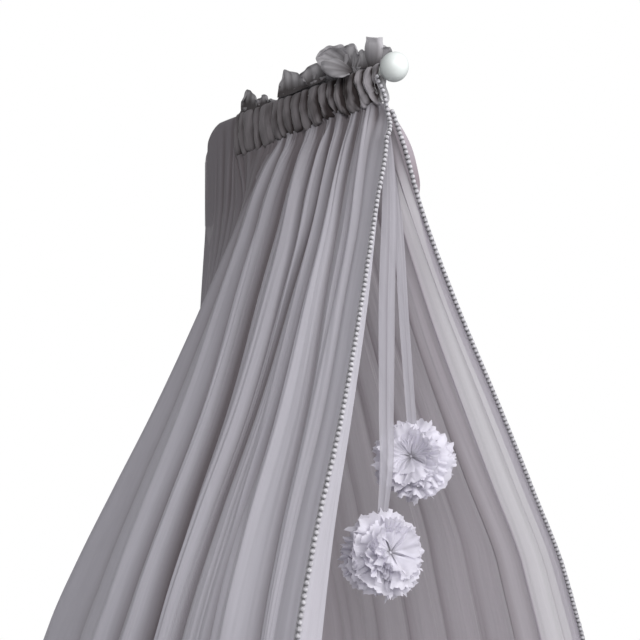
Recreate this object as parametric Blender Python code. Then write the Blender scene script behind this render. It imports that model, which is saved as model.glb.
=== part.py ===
"""Mosquito net canopy on a bent wall arm, hung as it is used over the head of a bed.

A tube arm stands out from a wall plate, ends in a ball and carries a gathered heading. Two voile
panels, left and right of the arm, fall from the heading like a tent that is open at the front.
Metres. X runs across the bed, -Y points from the wall into the room and +Z is up. The origin is the
middle of the wall plate's back face. Two working measures are used below: reach, the distance from
the middle of the ball towards the wall, and drop, the depth below the arm's axis.
"""

import math

import bmesh
import bpy

# Arm, wall plate and ball
SEAT_GAP = 0.0003
WALL_REACH = 0.665
AXIS_HEIGHT = 0.170
TUBE_RADIUS = 0.008
BEND_RADIUS = 0.068
PLATE_WIDTH = 0.020
PLATE_HEIGHT = 0.170
PLATE_THICK = 0.004
LEG_REACH = WALL_REACH - PLATE_THICK - SEAT_GAP - TUBE_RADIUS
BEND_START = LEG_REACH - BEND_RADIUS
LEG_END_DROP = 0.250
BALL_RADIUS = 0.030
BALL_FLAT_REACH = 0.0288

# Heading: a gathered sleeve round the arm with a standing frill above it
HEADING_FRONT = 0.0325
HEADING_BACK = 0.520
SLEEVE_TOP = 0.0135
SLEEVE_DROP_FRONT = 0.067
SLEEVE_DROP_BACK = 0.091
SLEEVE_BORE = 0.010
FRILL_HALF = 0.0016
GATHER_OUT = 0.0025
GATHER_IN = -0.0020

# Voile
SHEET_THICK = 0.002
SEAM_GAP = 0.0006
WRAP_RADIUS = 0.0120
HEM_DROP = 2.120
SEAM_X = 0.0008
SLIT_X = 0.0130
COLUMN_STEPS = 2
WRAP_ROWS = 2.0

# Where the gathered top of a panel is sewn to the heading
FRONT_SEWN_REACH = HEADING_FRONT + 0.006
FLAP_SEWN_REACH = FRONT_SEWN_REACH - 0.002
CORNER_SEWN_REACH = 0.500

# Folds open out below the seam, then deepen by a share of their depth further down
FOLD_START = 0.060
FOLD_OPENING = 0.170
DEEPENING_START = 0.400
DEEPENING_LENGTH = 1.200
DEEPENING = 0.5
SIDE_BOW = 0.018

# Trims, ribbons and pompoms
TRIM_RADIUS = 0.004
TRIM_STEPS = 60
TRIM_CROWDING = 1.40
RIBBON_THICK = 0.0015
RIBBON_ROWS = 12
POMPOM_HOLLOWS = 0.945
FIVE_LOBES = 0.030
THREE_LOBES = 0.025

# Rows of a panel: how far each row lies below the panel's top edge, as a share of its full length
ROW_SHARES = (0.0, 0.005, 0.011, 0.030, 0.060, 0.100, 0.150, 0.210, 0.280, 0.360, 0.450, 0.570, 0.760, 1.0)

# The tent's outline at each drop: distance from the middle plane and reach
FRONT_EDGE = (  # drop, x, reach
    (0.067, 0.012, 0.035),
    (0.150, 0.022, 0.002),
    (0.300, 0.070, -0.014),
    (0.500, 0.148, -0.048),
    (0.700, 0.236, -0.086),
    (0.900, 0.329, -0.116),
    (1.100, 0.410, -0.150),
    (1.500, 0.505, -0.195),
    (2.120, 0.550, -0.210),
)
REAR_CORNER = (
    (0.090, 0.012, 0.500),
    (0.150, 0.040, 0.440),
    (0.230, 0.080, 0.410),
    (0.490, 0.180, 0.450),
    (0.750, 0.290, 0.500),
    (1.190, 0.470, 0.600),
    (1.500, 0.560, 0.630),
    (2.120, 0.600, 0.640),
)
BACK_FOLD = (
    (0.090, 0.013, 0.5245),
    (0.230, 0.028, 0.480),
    (0.490, 0.090, 0.530),
    (0.750, 0.200, 0.580),
    (1.190, 0.370, 0.635),
    (1.500, 0.450, 0.645),
    (2.120, 0.480, 0.648),
)
BACK_RISER = (
    (0.090, 0.0135, 0.536),
    (0.230, 0.026, 0.512),
    (0.490, 0.076, 0.560),
    (0.750, 0.170, 0.606),
    (1.190, 0.325, 0.646),
    (2.120, 0.420, 0.651),
)
BACK_SHOULDER = (
    (0.090, 0.014, 0.560),
    (0.230, 0.022, 0.552),
    (0.490, 0.058, 0.592),
    (0.750, 0.130, 0.628),
    (1.190, 0.265, 0.650),
    (2.120, 0.345, 0.654),
)
BACK_MIDDLE = (
    (0.090, 0.014, 0.600),
    (0.230, 0.018, 0.600),
    (0.490, 0.038, 0.628),
    (0.750, 0.080, 0.645),
    (1.190, 0.170, 0.654),
    (2.120, 0.230, 0.656),
)
LEG_SIDE = (
    (0.060, 0.0130, 0.632),
    (0.230, 0.0145, 0.634),
    (0.350, 0.020, 0.645),
    (0.490, 0.026, 0.651),
    (0.750, 0.042, 0.655),
    (1.190, 0.085, 0.656),
    (2.120, 0.120, 0.656),
)
LEG_BACK = (
    (0.060, 0.0128, 0.647),
    (0.230, 0.0135, 0.648),
    (0.350, 0.0120, 0.655),
    (0.750, 0.018, 0.658),
    (2.120, 0.050, 0.658),
)
BACK_SEAM = (
    (0.047, SEAM_X, 0.662),
    (0.070, 0.0100, 0.660),
    (0.092, SLIT_X, 0.6585),
    (0.250, SLIT_X, 0.6585),
    (0.285, 0.0060, 0.659),
    (0.310, SEAM_X, 0.6595),
    (0.500, SEAM_X, 0.6595),
    (2.120, SEAM_X, 0.6595),
)

# Folds of each side, from the front trim (share 1) to the rear corner (share 0)
NEAR_FOLDS = (  # share at drop 0.10, 0.40, 0.70 and 1.10, and how far the fold stands out
    (0.955, 0.950, 0.950, 0.985, 0.004),
    (0.890, 0.902, 0.922, 0.960, -0.014),
    (0.810, 0.815, 0.855, 0.915, 0.006),
    (0.755, 0.780, 0.825, 0.875, -0.024),
    (0.725, 0.728, 0.740, 0.785, 0.010),
    (0.695, 0.675, 0.660, 0.685, -0.026),
    (0.640, 0.614, 0.609, 0.630, 0.004),
    (0.530, 0.522, 0.575, 0.588, -0.024),
    (0.440, 0.455, 0.520, 0.552, 0.010),
    (0.360, 0.330, 0.415, 0.462, -0.028),
    (0.250, 0.262, 0.340, 0.358, 0.006),
    (0.155, 0.200, 0.285, 0.304, -0.022),
    (0.110, 0.120, 0.190, 0.235, 0.008),
    (0.075, 0.085, 0.110, 0.157, -0.018),
)
FAR_FOLDS = (
    (0.955, 0.955, 0.962, 0.965, 0.012),
    (0.895, 0.895, 0.875, 0.890, -0.016),
    (0.800, 0.790, 0.780, 0.815, 0.020),
    (0.700, 0.705, 0.715, 0.760, -0.014),
    (0.640, 0.645, 0.660, 0.690, 0.018),
    (0.560, 0.560, 0.570, 0.600, -0.012),
    (0.480, 0.485, 0.490, 0.530, 0.018),
    (0.400, 0.405, 0.415, 0.440, -0.012),
    (0.330, 0.330, 0.335, 0.350, 0.020),
    (0.250, 0.250, 0.255, 0.260, -0.012),
    (0.170, 0.170, 0.175, 0.180, 0.018),
    (0.090, 0.090, 0.090, 0.095, -0.010),
)
FOLD_DROPS = (0.100, 0.400, 0.700, 1.100)

# The strip of cloth past each trim: it turns into the opening on one side and back on the other
NEAR_FLAP = (  # drop, inward, towards the wall
    (0.067, 0.0005, -0.003),
    (0.300, 0.006, -0.001),
    (0.500, 0.018, 0.000),
    (0.700, 0.026, 0.000),
    (0.900, 0.045, 0.001),
    (1.100, 0.050, 0.002),
    (2.120, 0.050, 0.004),
)
FAR_FLAP = (
    (0.067, -0.002, -0.003),
    (0.150, -0.026, -0.002),
    (0.200, -0.022, 0.002),
    (0.270, -0.012, 0.012),
    (0.400, -0.014, 0.026),
    (0.700, -0.016, 0.032),
    (2.120, -0.018, 0.035),
)

# Back part of a panel: where each line of cloth starts on the arm, from the heading to the seam
BACK_LINES = (  # outline, start reach, start drop, angle round the bend, first and last side angle
    (BACK_FOLD, 0.5245, 0.0930, 0.0, 90.0, 90.0),
    (BACK_RISER, 0.5300, 0.0, 0.0, 90.0, 90.0),
    (BACK_SHOULDER, 0.5450, 0.0, 0.0, 0.0, 90.0),
    (BACK_MIDDLE, BEND_START, 0.0, 12.0, 0.0, 90.0),
    (LEG_SIDE, BEND_START, 0.0, 45.0, 0.0, 90.0),
    (LEG_BACK, BEND_START, 0.0, 62.0, 0.0, 90.0),
    (BACK_SEAM, BEND_START, 0.0, 75.0, 0.0, 0.0),
)

FRILL = (  # reach, height above the arm's axis, lean towards +X
    (HEADING_FRONT, 0.050, 0.010),
    (0.046, 0.074, -0.004),
    (0.060, 0.080, 0.012),
    (0.074, 0.066, -0.010),
    (0.090, 0.038, 0.004),
    (0.110, 0.056, -0.014),
    (0.135, 0.072, 0.010),
    (0.160, 0.082, -0.012),
    (0.185, 0.080, 0.012),
    (0.210, 0.070, -0.012),
    (0.240, 0.064, 0.008),
    (0.265, 0.060, -0.010),
    (0.290, 0.052, 0.010),
    (0.312, 0.068, -0.006),
    (0.334, 0.074, 0.012),
    (0.358, 0.058, -0.010),
    (0.385, 0.046, 0.006),
    (0.410, 0.050, -0.010),
    (0.435, 0.044, 0.008),
    (0.458, 0.060, -0.010),
    (0.478, 0.066, 0.008),
    (0.500, 0.044, -0.006),
    (HEADING_BACK, 0.034, 0.000),
)
SLEEVE_SIDE = (  # share of the way from the top stitch to the bottom seam, half width
    (0.00, 0.0120),
    (0.18, 0.0190),
    (0.45, 0.0230),
    (0.75, 0.0210),
    (1.00, 0.0130),
)

# Each trim follows its front edge at an offset. The near one starts higher up, beside the ball, and
# comes down the heading's front end by a table of its own.
NEAR_TRIM_TOP = (  # drop, x, reach
    (0.018, 0.0215, 0.0280),
    (0.030, 0.0185, 0.0255),
    (0.054, 0.0090, 0.0190),
    (0.088, 0.0060, 0.0135),
    (0.106, 0.0050, 0.0090),
    (0.125, 0.0110, 0.0012),
    (0.138, 0.0190, -0.0034),
    (0.150, 0.0264, -0.0029),
)
FAR_TRIM_TOP_DROP = 0.085
NEAR_TRIM_OFFSET = (0.0044, -0.0049)
FAR_TRIM_OFFSET = (-0.0010, -0.0062)

RIBBON_NEAR = (  # drop, x, reach, half width, turn in degrees
    (0.0673, -0.0052, 0.0335, 0.0045, 0.0),
    (0.1050, -0.0050, 0.0290, 0.0055, -8.0),
    (0.1500, -0.0015, 0.0180, 0.0085, -25.0),
    (0.2800, 0.0060, 0.0190, 0.0135, -38.0),
    (0.5000, -0.0020, 0.0200, 0.0155, -43.0),
    (0.7200, -0.0090, 0.0150, 0.0145, -42.0),
    (0.8200, -0.0130, 0.0100, 0.0130, -42.0),
    (0.9196, -0.0180, 0.0160, 0.0100, -35.0),
)
RIBBON_FAR = (
    (0.0673, 0.0052, 0.0335, 0.0045, 0.0),
    (0.1050, 0.0062, 0.0310, 0.0050, 0.0),
    (0.1500, 0.0115, 0.0265, 0.0065, -10.0),
    (0.2800, 0.0340, 0.0230, 0.0110, -30.0),
    (0.5000, 0.0520, 0.0200, 0.0120, -40.0),
    (0.7480, 0.0850, 0.0260, 0.0110, -35.0),
)
POMPOMS = (  # name, x, reach, drop, half width, half depth, half height
    ("pompom_lower", -0.021, 0.018, 1.008, 0.086, 0.086, 0.088),
    ("pompom_upper", 0.090, 0.026, 0.826, 0.090, 0.082, 0.078),
)

WHITE_PAINT = (0.85, 0.87, 0.86)
WHITE_WOOD = (0.86, 0.88, 0.87)
VOILE_LILAC = (0.42, 0.40, 0.45)
VOILE_DEEP = (0.22, 0.20, 0.22)
TRIM_PALE = (0.62, 0.61, 0.65)
TULLE_PALE = (0.60, 0.58, 0.65)


def clear_scene():
    for item in list(bpy.data.objects):
        bpy.data.objects.remove(item, do_unlink=True)


def place(x, reach, drop):
    """A point from its working measures."""
    return (x, reach - WALL_REACH, AXIS_HEIGHT - drop)


def curve_value(table, at, column):
    """Smooth curve through one column of a table, read at a value of its first column."""
    last = len(table) - 1
    at = min(max(at, table[0][0]), table[last][0])
    row = 0
    while row < last - 1 and at > table[row + 1][0]:
        row += 1
    slopes = []
    for here in (row, row + 1):
        before = table[max(here - 1, 0)]
        after = table[min(here + 1, last)]
        slopes.append((after[column] - before[column]) / (after[0] - before[0]))
    step = table[row + 1][0] - table[row][0]
    t = (at - table[row][0]) / step
    value = (2 * t**3 - 3 * t**2 + 1) * table[row][column]
    value += (t**3 - 2 * t**2 + t) * step * slopes[0]
    value += (3 * t**2 - 2 * t**3) * table[row + 1][column]
    return value + (t**3 - t**2) * step * slopes[1]


def outline_point(table, drop):
    return curve_value(table, drop, 1), curve_value(table, drop, 2)


def ease(value):
    value = min(max(value, 0.0), 1.0)
    return value * value * (3.0 - 2.0 * value)


def material(name, colour, roughness):
    made = bpy.data.materials.new(name)
    made.use_nodes = True
    shader = made.node_tree.nodes["Principled BSDF"]
    shader.inputs["Base Color"].default_value = (*colour, 1.0)
    shader.inputs["Roughness"].default_value = roughness
    shader.inputs["Metallic"].default_value = 0.0
    return made


def add_object(name, mesh, finish):
    mesh.materials.append(finish)
    made = bpy.data.objects.new(name, mesh)
    bpy.context.scene.collection.objects.link(made)
    return made


def object_from_bmesh(name, shape, finish):
    bmesh.ops.recalc_face_normals(shape, faces=shape.faces)
    mesh = bpy.data.meshes.new(name)
    shape.to_mesh(mesh)
    shape.free()
    return add_object(name, mesh, finish)


def add_tube(name, points, radius, finish, sides):
    """A round bar along a list of points, with filled ends."""
    curve = bpy.data.curves.new(name, "CURVE")
    curve.dimensions = "3D"
    curve.bevel_depth = radius
    curve.bevel_resolution = sides
    curve.use_fill_caps = True
    spline = curve.splines.new("POLY")
    spline.points.add(len(points) - 1)
    for slot, point in zip(spline.points, points):
        slot.co = (*point, 1.0)
    curve.materials.append(finish)
    made = bpy.data.objects.new(name, curve)
    bpy.context.scene.collection.objects.link(made)
    return made


def add_sheet(name, columns, rows, point_at, thickness, finish):
    """A sheet of cloth: a grid whose points are hung by point_at(column, row), thickened evenly."""
    shape = bmesh.new()
    bmesh.ops.create_grid(shape, x_segments=columns, y_segments=rows, size=1.0)
    for vertex in shape.verts:
        column = round((vertex.co.x + 1.0) / 2.0 * columns)
        row = round((vertex.co.y + 1.0) / 2.0 * rows)
        vertex.co = point_at(column, row)
    mesh = bpy.data.meshes.new(name)
    shape.to_mesh(mesh)
    shape.free()
    made = add_object(name, mesh, finish)
    wall = made.modifiers.new("thickness", "SOLIDIFY")
    wall.thickness = thickness
    wall.offset = 0.0
    return made


def add_block(name, low, high, finish):
    shape = bmesh.new()
    bmesh.ops.create_cube(shape, size=1.0)
    for vertex in shape.verts:
        for axis in range(3):
            middle = (low[axis] + high[axis]) / 2.0
            vertex.co[axis] = middle + vertex.co[axis] * (high[axis] - low[axis])
    return object_from_bmesh(name, shape, finish)


def add_arm(finish):
    """The tube: straight out from the bend to the ball, and down into a leg at the wall."""
    points = [place(0.0, BALL_FLAT_REACH + SEAT_GAP, 0.0)]
    steps = 9
    for step in range(steps + 1):
        angle = math.radians(90.0 * step / steps)
        reach = BEND_START + BEND_RADIUS * math.sin(angle)
        points.append(place(0.0, reach, BEND_RADIUS * (1.0 - math.cos(angle))))
    points.append(place(0.0, BEND_START + BEND_RADIUS, LEG_END_DROP))
    add_tube("arm_tube", points, TUBE_RADIUS, finish, 4)


def add_wall_plate(finish):
    """Flat bar on the wall that the leg is fixed to."""
    low = (-PLATE_WIDTH / 2.0, -PLATE_THICK, -PLATE_HEIGHT / 2.0)
    high = (PLATE_WIDTH / 2.0, 0.0, PLATE_HEIGHT / 2.0)
    add_block("wall_plate", low, high, finish)


def add_ball(finish):
    """Turned ball with a small flat where it meets the tube's end."""
    shape = bmesh.new()
    bmesh.ops.create_uvsphere(shape, u_segments=24, v_segments=14, radius=BALL_RADIUS)
    everything = shape.verts[:] + shape.edges[:] + shape.faces[:]
    cut = bmesh.ops.bisect_plane(
        shape, geom=everything, plane_co=(0.0, BALL_FLAT_REACH, 0.0), plane_no=(0.0, 1.0, 0.0), clear_outer=True
    )
    rim = [item for item in cut["geom_cut"] if isinstance(item, bmesh.types.BMEdge)]
    bmesh.ops.contextual_create(shape, geom=rim)
    for vertex in shape.verts:
        vertex.co = place(vertex.co.x, vertex.co.y, -vertex.co.z)
    object_from_bmesh("ball_finial", shape, finish)


def sleeve_bottom(reach):
    """Drop of the heading's bottom seam, which sags a little towards the wall."""
    share = (reach - HEADING_FRONT) / (HEADING_BACK - HEADING_FRONT)
    return SLEEVE_DROP_FRONT + (SLEEVE_DROP_BACK - SLEEVE_DROP_FRONT) * share


def heading_section(reach, height, lean, gather):
    """One cross-section of the heading: down the left side, up the right side, over the frill."""
    bottom = sleeve_bottom(reach)
    left = []
    right = []
    for share, half in SLEEVE_SIDE:
        drop = -SLEEVE_TOP + (bottom + SLEEVE_TOP) * share
        width = half + gather * math.sin(math.pi * share)
        left.append((-width, reach, drop))
        right.append((width, reach, drop))
    middle = (SLEEVE_TOP + height) / 2.0
    left_fin = [(lean - FRILL_HALF, reach, -height), (0.5 * lean - FRILL_HALF, reach, -middle)]
    right_fin = [(0.5 * lean + FRILL_HALF, reach, -middle), (lean + FRILL_HALF, reach, -height)]
    return left_fin + left + right[::-1] + right_fin


def add_heading(finish):
    """The sleeve and its frill in one gathered piece, with a round bore for the arm."""
    shape = bmesh.new()
    rings = []
    for number, (reach, height, lean) in enumerate(FRILL):
        gather = GATHER_OUT if number % 2 else GATHER_IN
        section = heading_section(reach, height, lean, gather)
        rings.append([shape.verts.new(place(*point)) for point in section])
    count = len(rings[0])
    for first, second in zip(rings, rings[1:]):
        for here in range(count):
            there = (here + 1) % count
            shape.faces.new((first[here], first[there], second[there], second[here]))
    shape.faces.new(rings[0][::-1])
    shape.faces.new(rings[-1])
    heading = object_from_bmesh("heading", shape, finish)
    front = place(0.0, HEADING_FRONT - 0.020, 0.0)
    back = place(0.0, HEADING_BACK + 0.020, 0.0)
    bore = bmesh.new()
    bmesh.ops.create_cone(
        bore, cap_ends=True, segments=20, radius1=SLEEVE_BORE, radius2=SLEEVE_BORE, depth=back[1] - front[1]
    )
    for vertex in bore.verts:
        vertex.co = (vertex.co.x, (front[1] + back[1]) / 2.0 + vertex.co.z, AXIS_HEIGHT + vertex.co.y)
    cutter = object_from_bmesh("heading_bore", bore, finish)
    cutter.hide_render = True
    cutter.display_type = "WIRE"
    cut = heading.modifiers.new("bore", "BOOLEAN")
    cut.operation = "DIFFERENCE"
    cut.object = cutter


def fold_share(fold, drop):
    """Where a fold lies across its side at this drop."""
    table = tuple(zip(FOLD_DROPS, fold[:4]))
    return curve_value(table, drop, 1)


def section_keys(folds, flap, drop):
    """Plan of one panel at one drop: flap, trim line, folds, rear corner, back lines and seam."""
    front_x, front_reach = outline_point(FRONT_EDGE, drop)
    corner_x, corner_reach = outline_point(REAR_CORNER, drop)
    run_x = front_x - corner_x
    run_reach = front_reach - corner_reach
    length = math.hypot(run_x, run_reach)
    out_x = -run_reach / length
    out_reach = run_x / length
    flap_x, flap_reach = outline_point(flap, drop)
    keys = [(front_x - flap_x, front_reach + flap_reach), (front_x, front_reach)]
    growth = ease((drop - FOLD_START) / FOLD_OPENING)
    depth = growth * (1.0 + DEEPENING * ease((drop - DEEPENING_START) / DEEPENING_LENGTH))
    for fold in folds:
        share = fold_share(fold, drop)
        out = fold[4] * depth + SIDE_BOW * math.sin(math.pi * share) * growth
        keys.append((corner_x + run_x * share + out_x * out, corner_reach + run_reach * share + out_reach * out))
    keys.append((corner_x, corner_reach))
    for line in BACK_LINES:
        keys.append(outline_point(line[0], drop))
    return keys


def between_keys(keys, position):
    """Smooth curve through the keys of a plan, read at a fractional key number."""
    here = min(int(position), len(keys) - 2)
    t = position - here
    a = keys[max(here - 1, 0)]
    b = keys[here]
    c = keys[here + 1]
    d = keys[min(here + 2, len(keys) - 1)]
    found = []
    for axis in range(2):
        rise = (c[axis] - a[axis]) / 2.0
        fall = (d[axis] - b[axis]) / 2.0
        value = (2 * t**3 - 3 * t**2 + 1) * b[axis] + (t**3 - 2 * t**2 + t) * rise
        found.append(value + (3 * t**2 - 2 * t**3) * c[axis] + (t**3 - t**2) * fall)
    return found


def top_lines(folds):
    """For each key, its start: reach, drop, bend angle, first and last side angle, and how far it
    hangs plumb from the arm before it joins the outline."""
    reaches = [FLAP_SEWN_REACH, FRONT_SEWN_REACH]
    for fold in folds:
        reaches.append(CORNER_SEWN_REACH + (FRONT_SEWN_REACH - CORNER_SEWN_REACH) * fold[0])
    reaches.append(CORNER_SEWN_REACH)
    starts = [(reach, sleeve_bottom(reach) + SEAM_GAP, 0.0, 90.0, 90.0, 0.0) for reach in reaches]
    for line in BACK_LINES:
        plumb = 0.0 if line[0] in (BACK_FOLD, BACK_SEAM) else 1.0
        starts.append((*line[1:], plumb))
    return starts


def mixed(rows, position):
    """Straight mix of two neighbouring rows of numbers."""
    here = min(int(position), len(rows) - 2)
    t = position - here
    return [a + (b - a) * t for a, b in zip(rows[here], rows[here + 1])]


def hang_panel(name, side, folds, flap, finish):
    """One side of the net: its folds run from the heading's seam, or from over the bend, to the hem."""
    starts = top_lines(folds)

    def point_at(column, row):
        position = column / COLUMN_STEPS
        reach, drop, bend, first, last, plumb = mixed(starts, position)
        bend = math.radians(bend)
        if bend > 0.0:
            reach += BEND_RADIUS * math.sin(bend)
            drop += BEND_RADIUS * (1.0 - math.cos(bend))
        wrapped = min(row / WRAP_ROWS, 1.0)
        angle = math.radians(first + (last - first) * wrapped)
        lift = WRAP_RADIUS * math.cos(angle)
        level = 1.0 - ROW_SHARES[row]
        held = plumb * min(ROW_SHARES[row], ROW_SHARES[2]) * level
        fall = (HEM_DROP - drop) * (ROW_SHARES[row] - held)
        here_drop = drop + fall - lift * math.cos(bend) * level
        top_x = WRAP_RADIUS * math.sin(angle)
        top_reach = reach + lift * math.sin(bend)
        plan_x, plan_reach = between_keys(section_keys(folds, flap, here_drop), position)
        share = ease((row - 1.5 * plumb) / (1.0 + 5.0 * plumb))
        x = top_x + (plan_x - top_x) * share
        return place(side * max(x, SEAM_X), top_reach + (plan_reach - top_reach) * share, here_drop)

    rows = len(ROW_SHARES) - 1
    add_sheet(name, (len(starts) - 1) * COLUMN_STEPS, rows, point_at, SHEET_THICK, finish)


def trim_point(top, offset, drop):
    """Middle of a trim: by its table while that lasts, then at its offset from the front edge."""
    if top and drop < top[-1][0]:
        return outline_point(top, drop)
    x, reach = outline_point(FRONT_EDGE, drop)
    return x + offset[0], reach + offset[1]


def add_trim(name, side, first, top, offset, finish):
    """Tape of small bobbles along a front edge, as its round outer form, just outside the fold."""
    points = []
    length = HEM_DROP - first - SEAT_GAP
    for step in range(TRIM_STEPS + 1):
        drop = first + length * (step / TRIM_STEPS) ** TRIM_CROWDING
        x, reach = trim_point(top, offset, drop)
        points.append(place(side * x, reach, drop))
    add_tube(name, points, TRIM_RADIUS, finish, 1)


def hang_ribbon(name, table, finish):
    """A voile ribbon hanging from the front of the heading to its pompom."""
    first = table[0][0]
    last = table[-1][0]

    def point_at(column, row):
        drop = first + (last - first) * row / RIBBON_ROWS
        half = curve_value(table, drop, 3)
        turn = math.radians(curve_value(table, drop, 4))
        across = (column - 1.0) * half
        x = curve_value(table, drop, 1) + across * math.cos(turn)
        reach = curve_value(table, drop, 2) + across * math.sin(turn)
        return place(x, reach, drop)

    add_sheet(name, 2, RIBBON_ROWS, point_at, RIBBON_THICK, finish)


def add_pompom(row, finish):
    """A ball of cut voile strips tied in the middle, as its lobed outer form."""
    name, x, reach, drop, half_width, half_depth, half_height = row
    shape = bmesh.new()
    bmesh.ops.create_uvsphere(shape, u_segments=20, v_segments=11, radius=1.0)
    for vertex in shape.verts:
        around = math.atan2(vertex.co.x, vertex.co.z)
        lobes = FIVE_LOBES * math.cos(5.0 * around) + THREE_LOBES * math.cos(3.0 * around + 2.0 * vertex.co.y)
        spread = vertex.co * (POMPOM_HOLLOWS + lobes)
        vertex.co = place(x + spread.x * half_width, reach + spread.y * half_depth, drop - spread.z * half_height)
    object_from_bmesh(name, shape, finish)


def build():
    clear_scene()
    paint = material("white_paint", WHITE_PAINT, 0.45)
    wood = material("white_wood", WHITE_WOOD, 0.55)
    voile = material("lilac_voile", VOILE_LILAC, 0.90)
    gathered = material("gathered_voile", VOILE_DEEP, 0.92)
    bobbles = material("bobble_trim", TRIM_PALE, 0.95)
    tulle = material("pompom_voile", TULLE_PALE, 0.92)
    add_arm(paint)
    add_wall_plate(paint)
    add_ball(wood)
    add_heading(gathered)
    hang_panel("panel_near", -1.0, NEAR_FOLDS, NEAR_FLAP, voile)
    hang_panel("panel_far", 1.0, FAR_FOLDS, FAR_FLAP, voile)
    add_trim("trim_near", -1.0, NEAR_TRIM_TOP[0][0], NEAR_TRIM_TOP, NEAR_TRIM_OFFSET, bobbles)
    add_trim("trim_far", 1.0, FAR_TRIM_TOP_DROP, (), FAR_TRIM_OFFSET, bobbles)
    hang_ribbon("ribbon_near", RIBBON_NEAR, voile)
    hang_ribbon("ribbon_far", RIBBON_FAR, voile)
    for row in POMPOMS:
        add_pompom(row, tulle)


build()
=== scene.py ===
"""Looks of a mosquito net canopy: lilac voile gathered on a white wall arm, with bobble-trimmed front
edges, two ribbons and two pompoms. Metres. X runs across the opening, -Y points from the wall into
the room and +Z is up."""

import math
import random

import bmesh
import bpy
import numpy as np
from mathutils import Matrix, Vector, noise


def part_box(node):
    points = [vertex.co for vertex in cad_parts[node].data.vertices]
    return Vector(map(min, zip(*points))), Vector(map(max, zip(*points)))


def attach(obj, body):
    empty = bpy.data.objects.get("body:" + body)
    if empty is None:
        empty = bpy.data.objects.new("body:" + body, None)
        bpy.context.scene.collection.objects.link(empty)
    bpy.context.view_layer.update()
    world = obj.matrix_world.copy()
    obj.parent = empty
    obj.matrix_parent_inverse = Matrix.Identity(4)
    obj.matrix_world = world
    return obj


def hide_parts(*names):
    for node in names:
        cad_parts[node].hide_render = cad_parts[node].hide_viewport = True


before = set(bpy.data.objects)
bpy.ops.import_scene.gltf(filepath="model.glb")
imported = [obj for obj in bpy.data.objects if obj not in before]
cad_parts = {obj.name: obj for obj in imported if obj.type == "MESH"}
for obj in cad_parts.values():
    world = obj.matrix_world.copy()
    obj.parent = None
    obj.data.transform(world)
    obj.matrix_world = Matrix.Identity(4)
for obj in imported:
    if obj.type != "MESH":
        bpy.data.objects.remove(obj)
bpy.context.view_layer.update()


# Studio. A pale round floor and a white room of soft light: one large soft light from above and the
# front, and a weaker one from the camera's left. The camera is level and sees the canopy from the
# front left, and its frame is raised a little by a shift.
CAMERA_PLACE = (-1.242, -1.771, -0.418)
CAMERA_HEADING = math.atan2(0.682, 0.731)
LENS_MM = 45.0
FRAME_SHIFT = 31.0 / 640.0
FLOOR_MIDDLE = (0.0, -0.4, -2.0)
FLOOR_RADIUS = 2.2
LIGHT_AIM = Vector((0.0, -0.4, -0.7))
LIGHTS = (  # name, place, width, height, watts
    ("soft_light_front", (0.45, -3.1, 0.8), 2.0, 1.8, 100.0),
    ("soft_light_left", (-2.3, -2.8, 0.9), 1.6, 1.6, 75.0),
)

camera_data = bpy.data.cameras.new("camera")
camera_data.lens = LENS_MM
camera_data.sensor_width = 36.0
camera_data.shift_y = FRAME_SHIFT
camera = bpy.data.objects.new("camera", camera_data)
camera.location = CAMERA_PLACE
camera.rotation_euler = (math.radians(90.0), 0.0, -CAMERA_HEADING)
bpy.context.scene.collection.objects.link(camera)
bpy.context.scene.camera = camera
bpy.context.scene.view_settings.view_transform = "Standard"

for name, spot, width, height, watts in LIGHTS:
    lamp_data = bpy.data.lights.new(name, "AREA")
    lamp_data.shape = "RECTANGLE"
    lamp_data.size = width
    lamp_data.size_y = height
    lamp_data.energy = watts
    lamp = bpy.data.objects.new(name, lamp_data)
    lamp.location = spot
    lamp.rotation_euler = (LIGHT_AIM - Vector(spot)).to_track_quat("-Z", "Y").to_euler()
    bpy.context.scene.collection.objects.link(lamp)


def feed(tree, node, *ordered, **named):
    """Gives a node its inputs, in order or by name: a number or colour is set, and another node's
    output is linked. An underscore in a name stands for a space."""
    sockets = list(zip(node.inputs, ordered))
    sockets += [(node.inputs[name.replace("_", " ")], value) for name, value in named.items()]
    for socket, value in sockets:
        if isinstance(value, bpy.types.NodeSocket):
            tree.links.new(value, socket)
        else:
            socket.default_value = value


def add_node(tree, kind, settings=(), *ordered, **named):
    """A new shader node with its settings and inputs."""
    made = tree.nodes.new("ShaderNode" + kind)
    for name, value in dict(settings).items():
        setattr(made, name, value)
    feed(tree, made, *ordered, **named)
    return made


world = bpy.data.worlds.new("white_room")
bpy.context.scene.world = world
world.use_nodes = True
sky = world.node_tree
room_light = sky.nodes["Background"]
feed(sky, room_light, Color=(0.96, 0.97, 1.0, 1.0), Strength=0.22)
seen_wall = add_node(sky, "Background", Color=(1.0, 1.0, 1.0, 1.0), Strength=1.0)
seen = add_node(sky, "LightPath").outputs["Is Camera Ray"]
room = add_node(sky, "MixShader", (), seen, room_light.outputs[0], seen_wall.outputs[0])
feed(sky, sky.nodes["World Output"], Surface=room.outputs[0])


def link_mesh(name, shape, finish):
    """A finished bmesh as a smooth object at the origin."""
    mesh = bpy.data.meshes.new(name)
    for face in shape.faces:
        face.smooth = True
    shape.to_mesh(mesh)
    shape.free()
    mesh.materials.append(finish)
    made = bpy.data.objects.new(name, mesh)
    bpy.context.scene.collection.objects.link(made)
    return made


def new_material(name):
    """A new material, its node tree and its Principled shader."""
    made = bpy.data.materials.new(name)
    made.use_nodes = True
    return made, made.node_tree, made.node_tree.nodes["Principled BSDF"]


def noise_on(tree, scale, detail):
    """Soft noise on the piece's own coordinates."""
    where = add_node(tree, "TexCoord").outputs["Object"]
    return add_node(tree, "TexNoise", Vector=where, Scale=scale, Detail=detail).outputs["Fac"]


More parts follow.
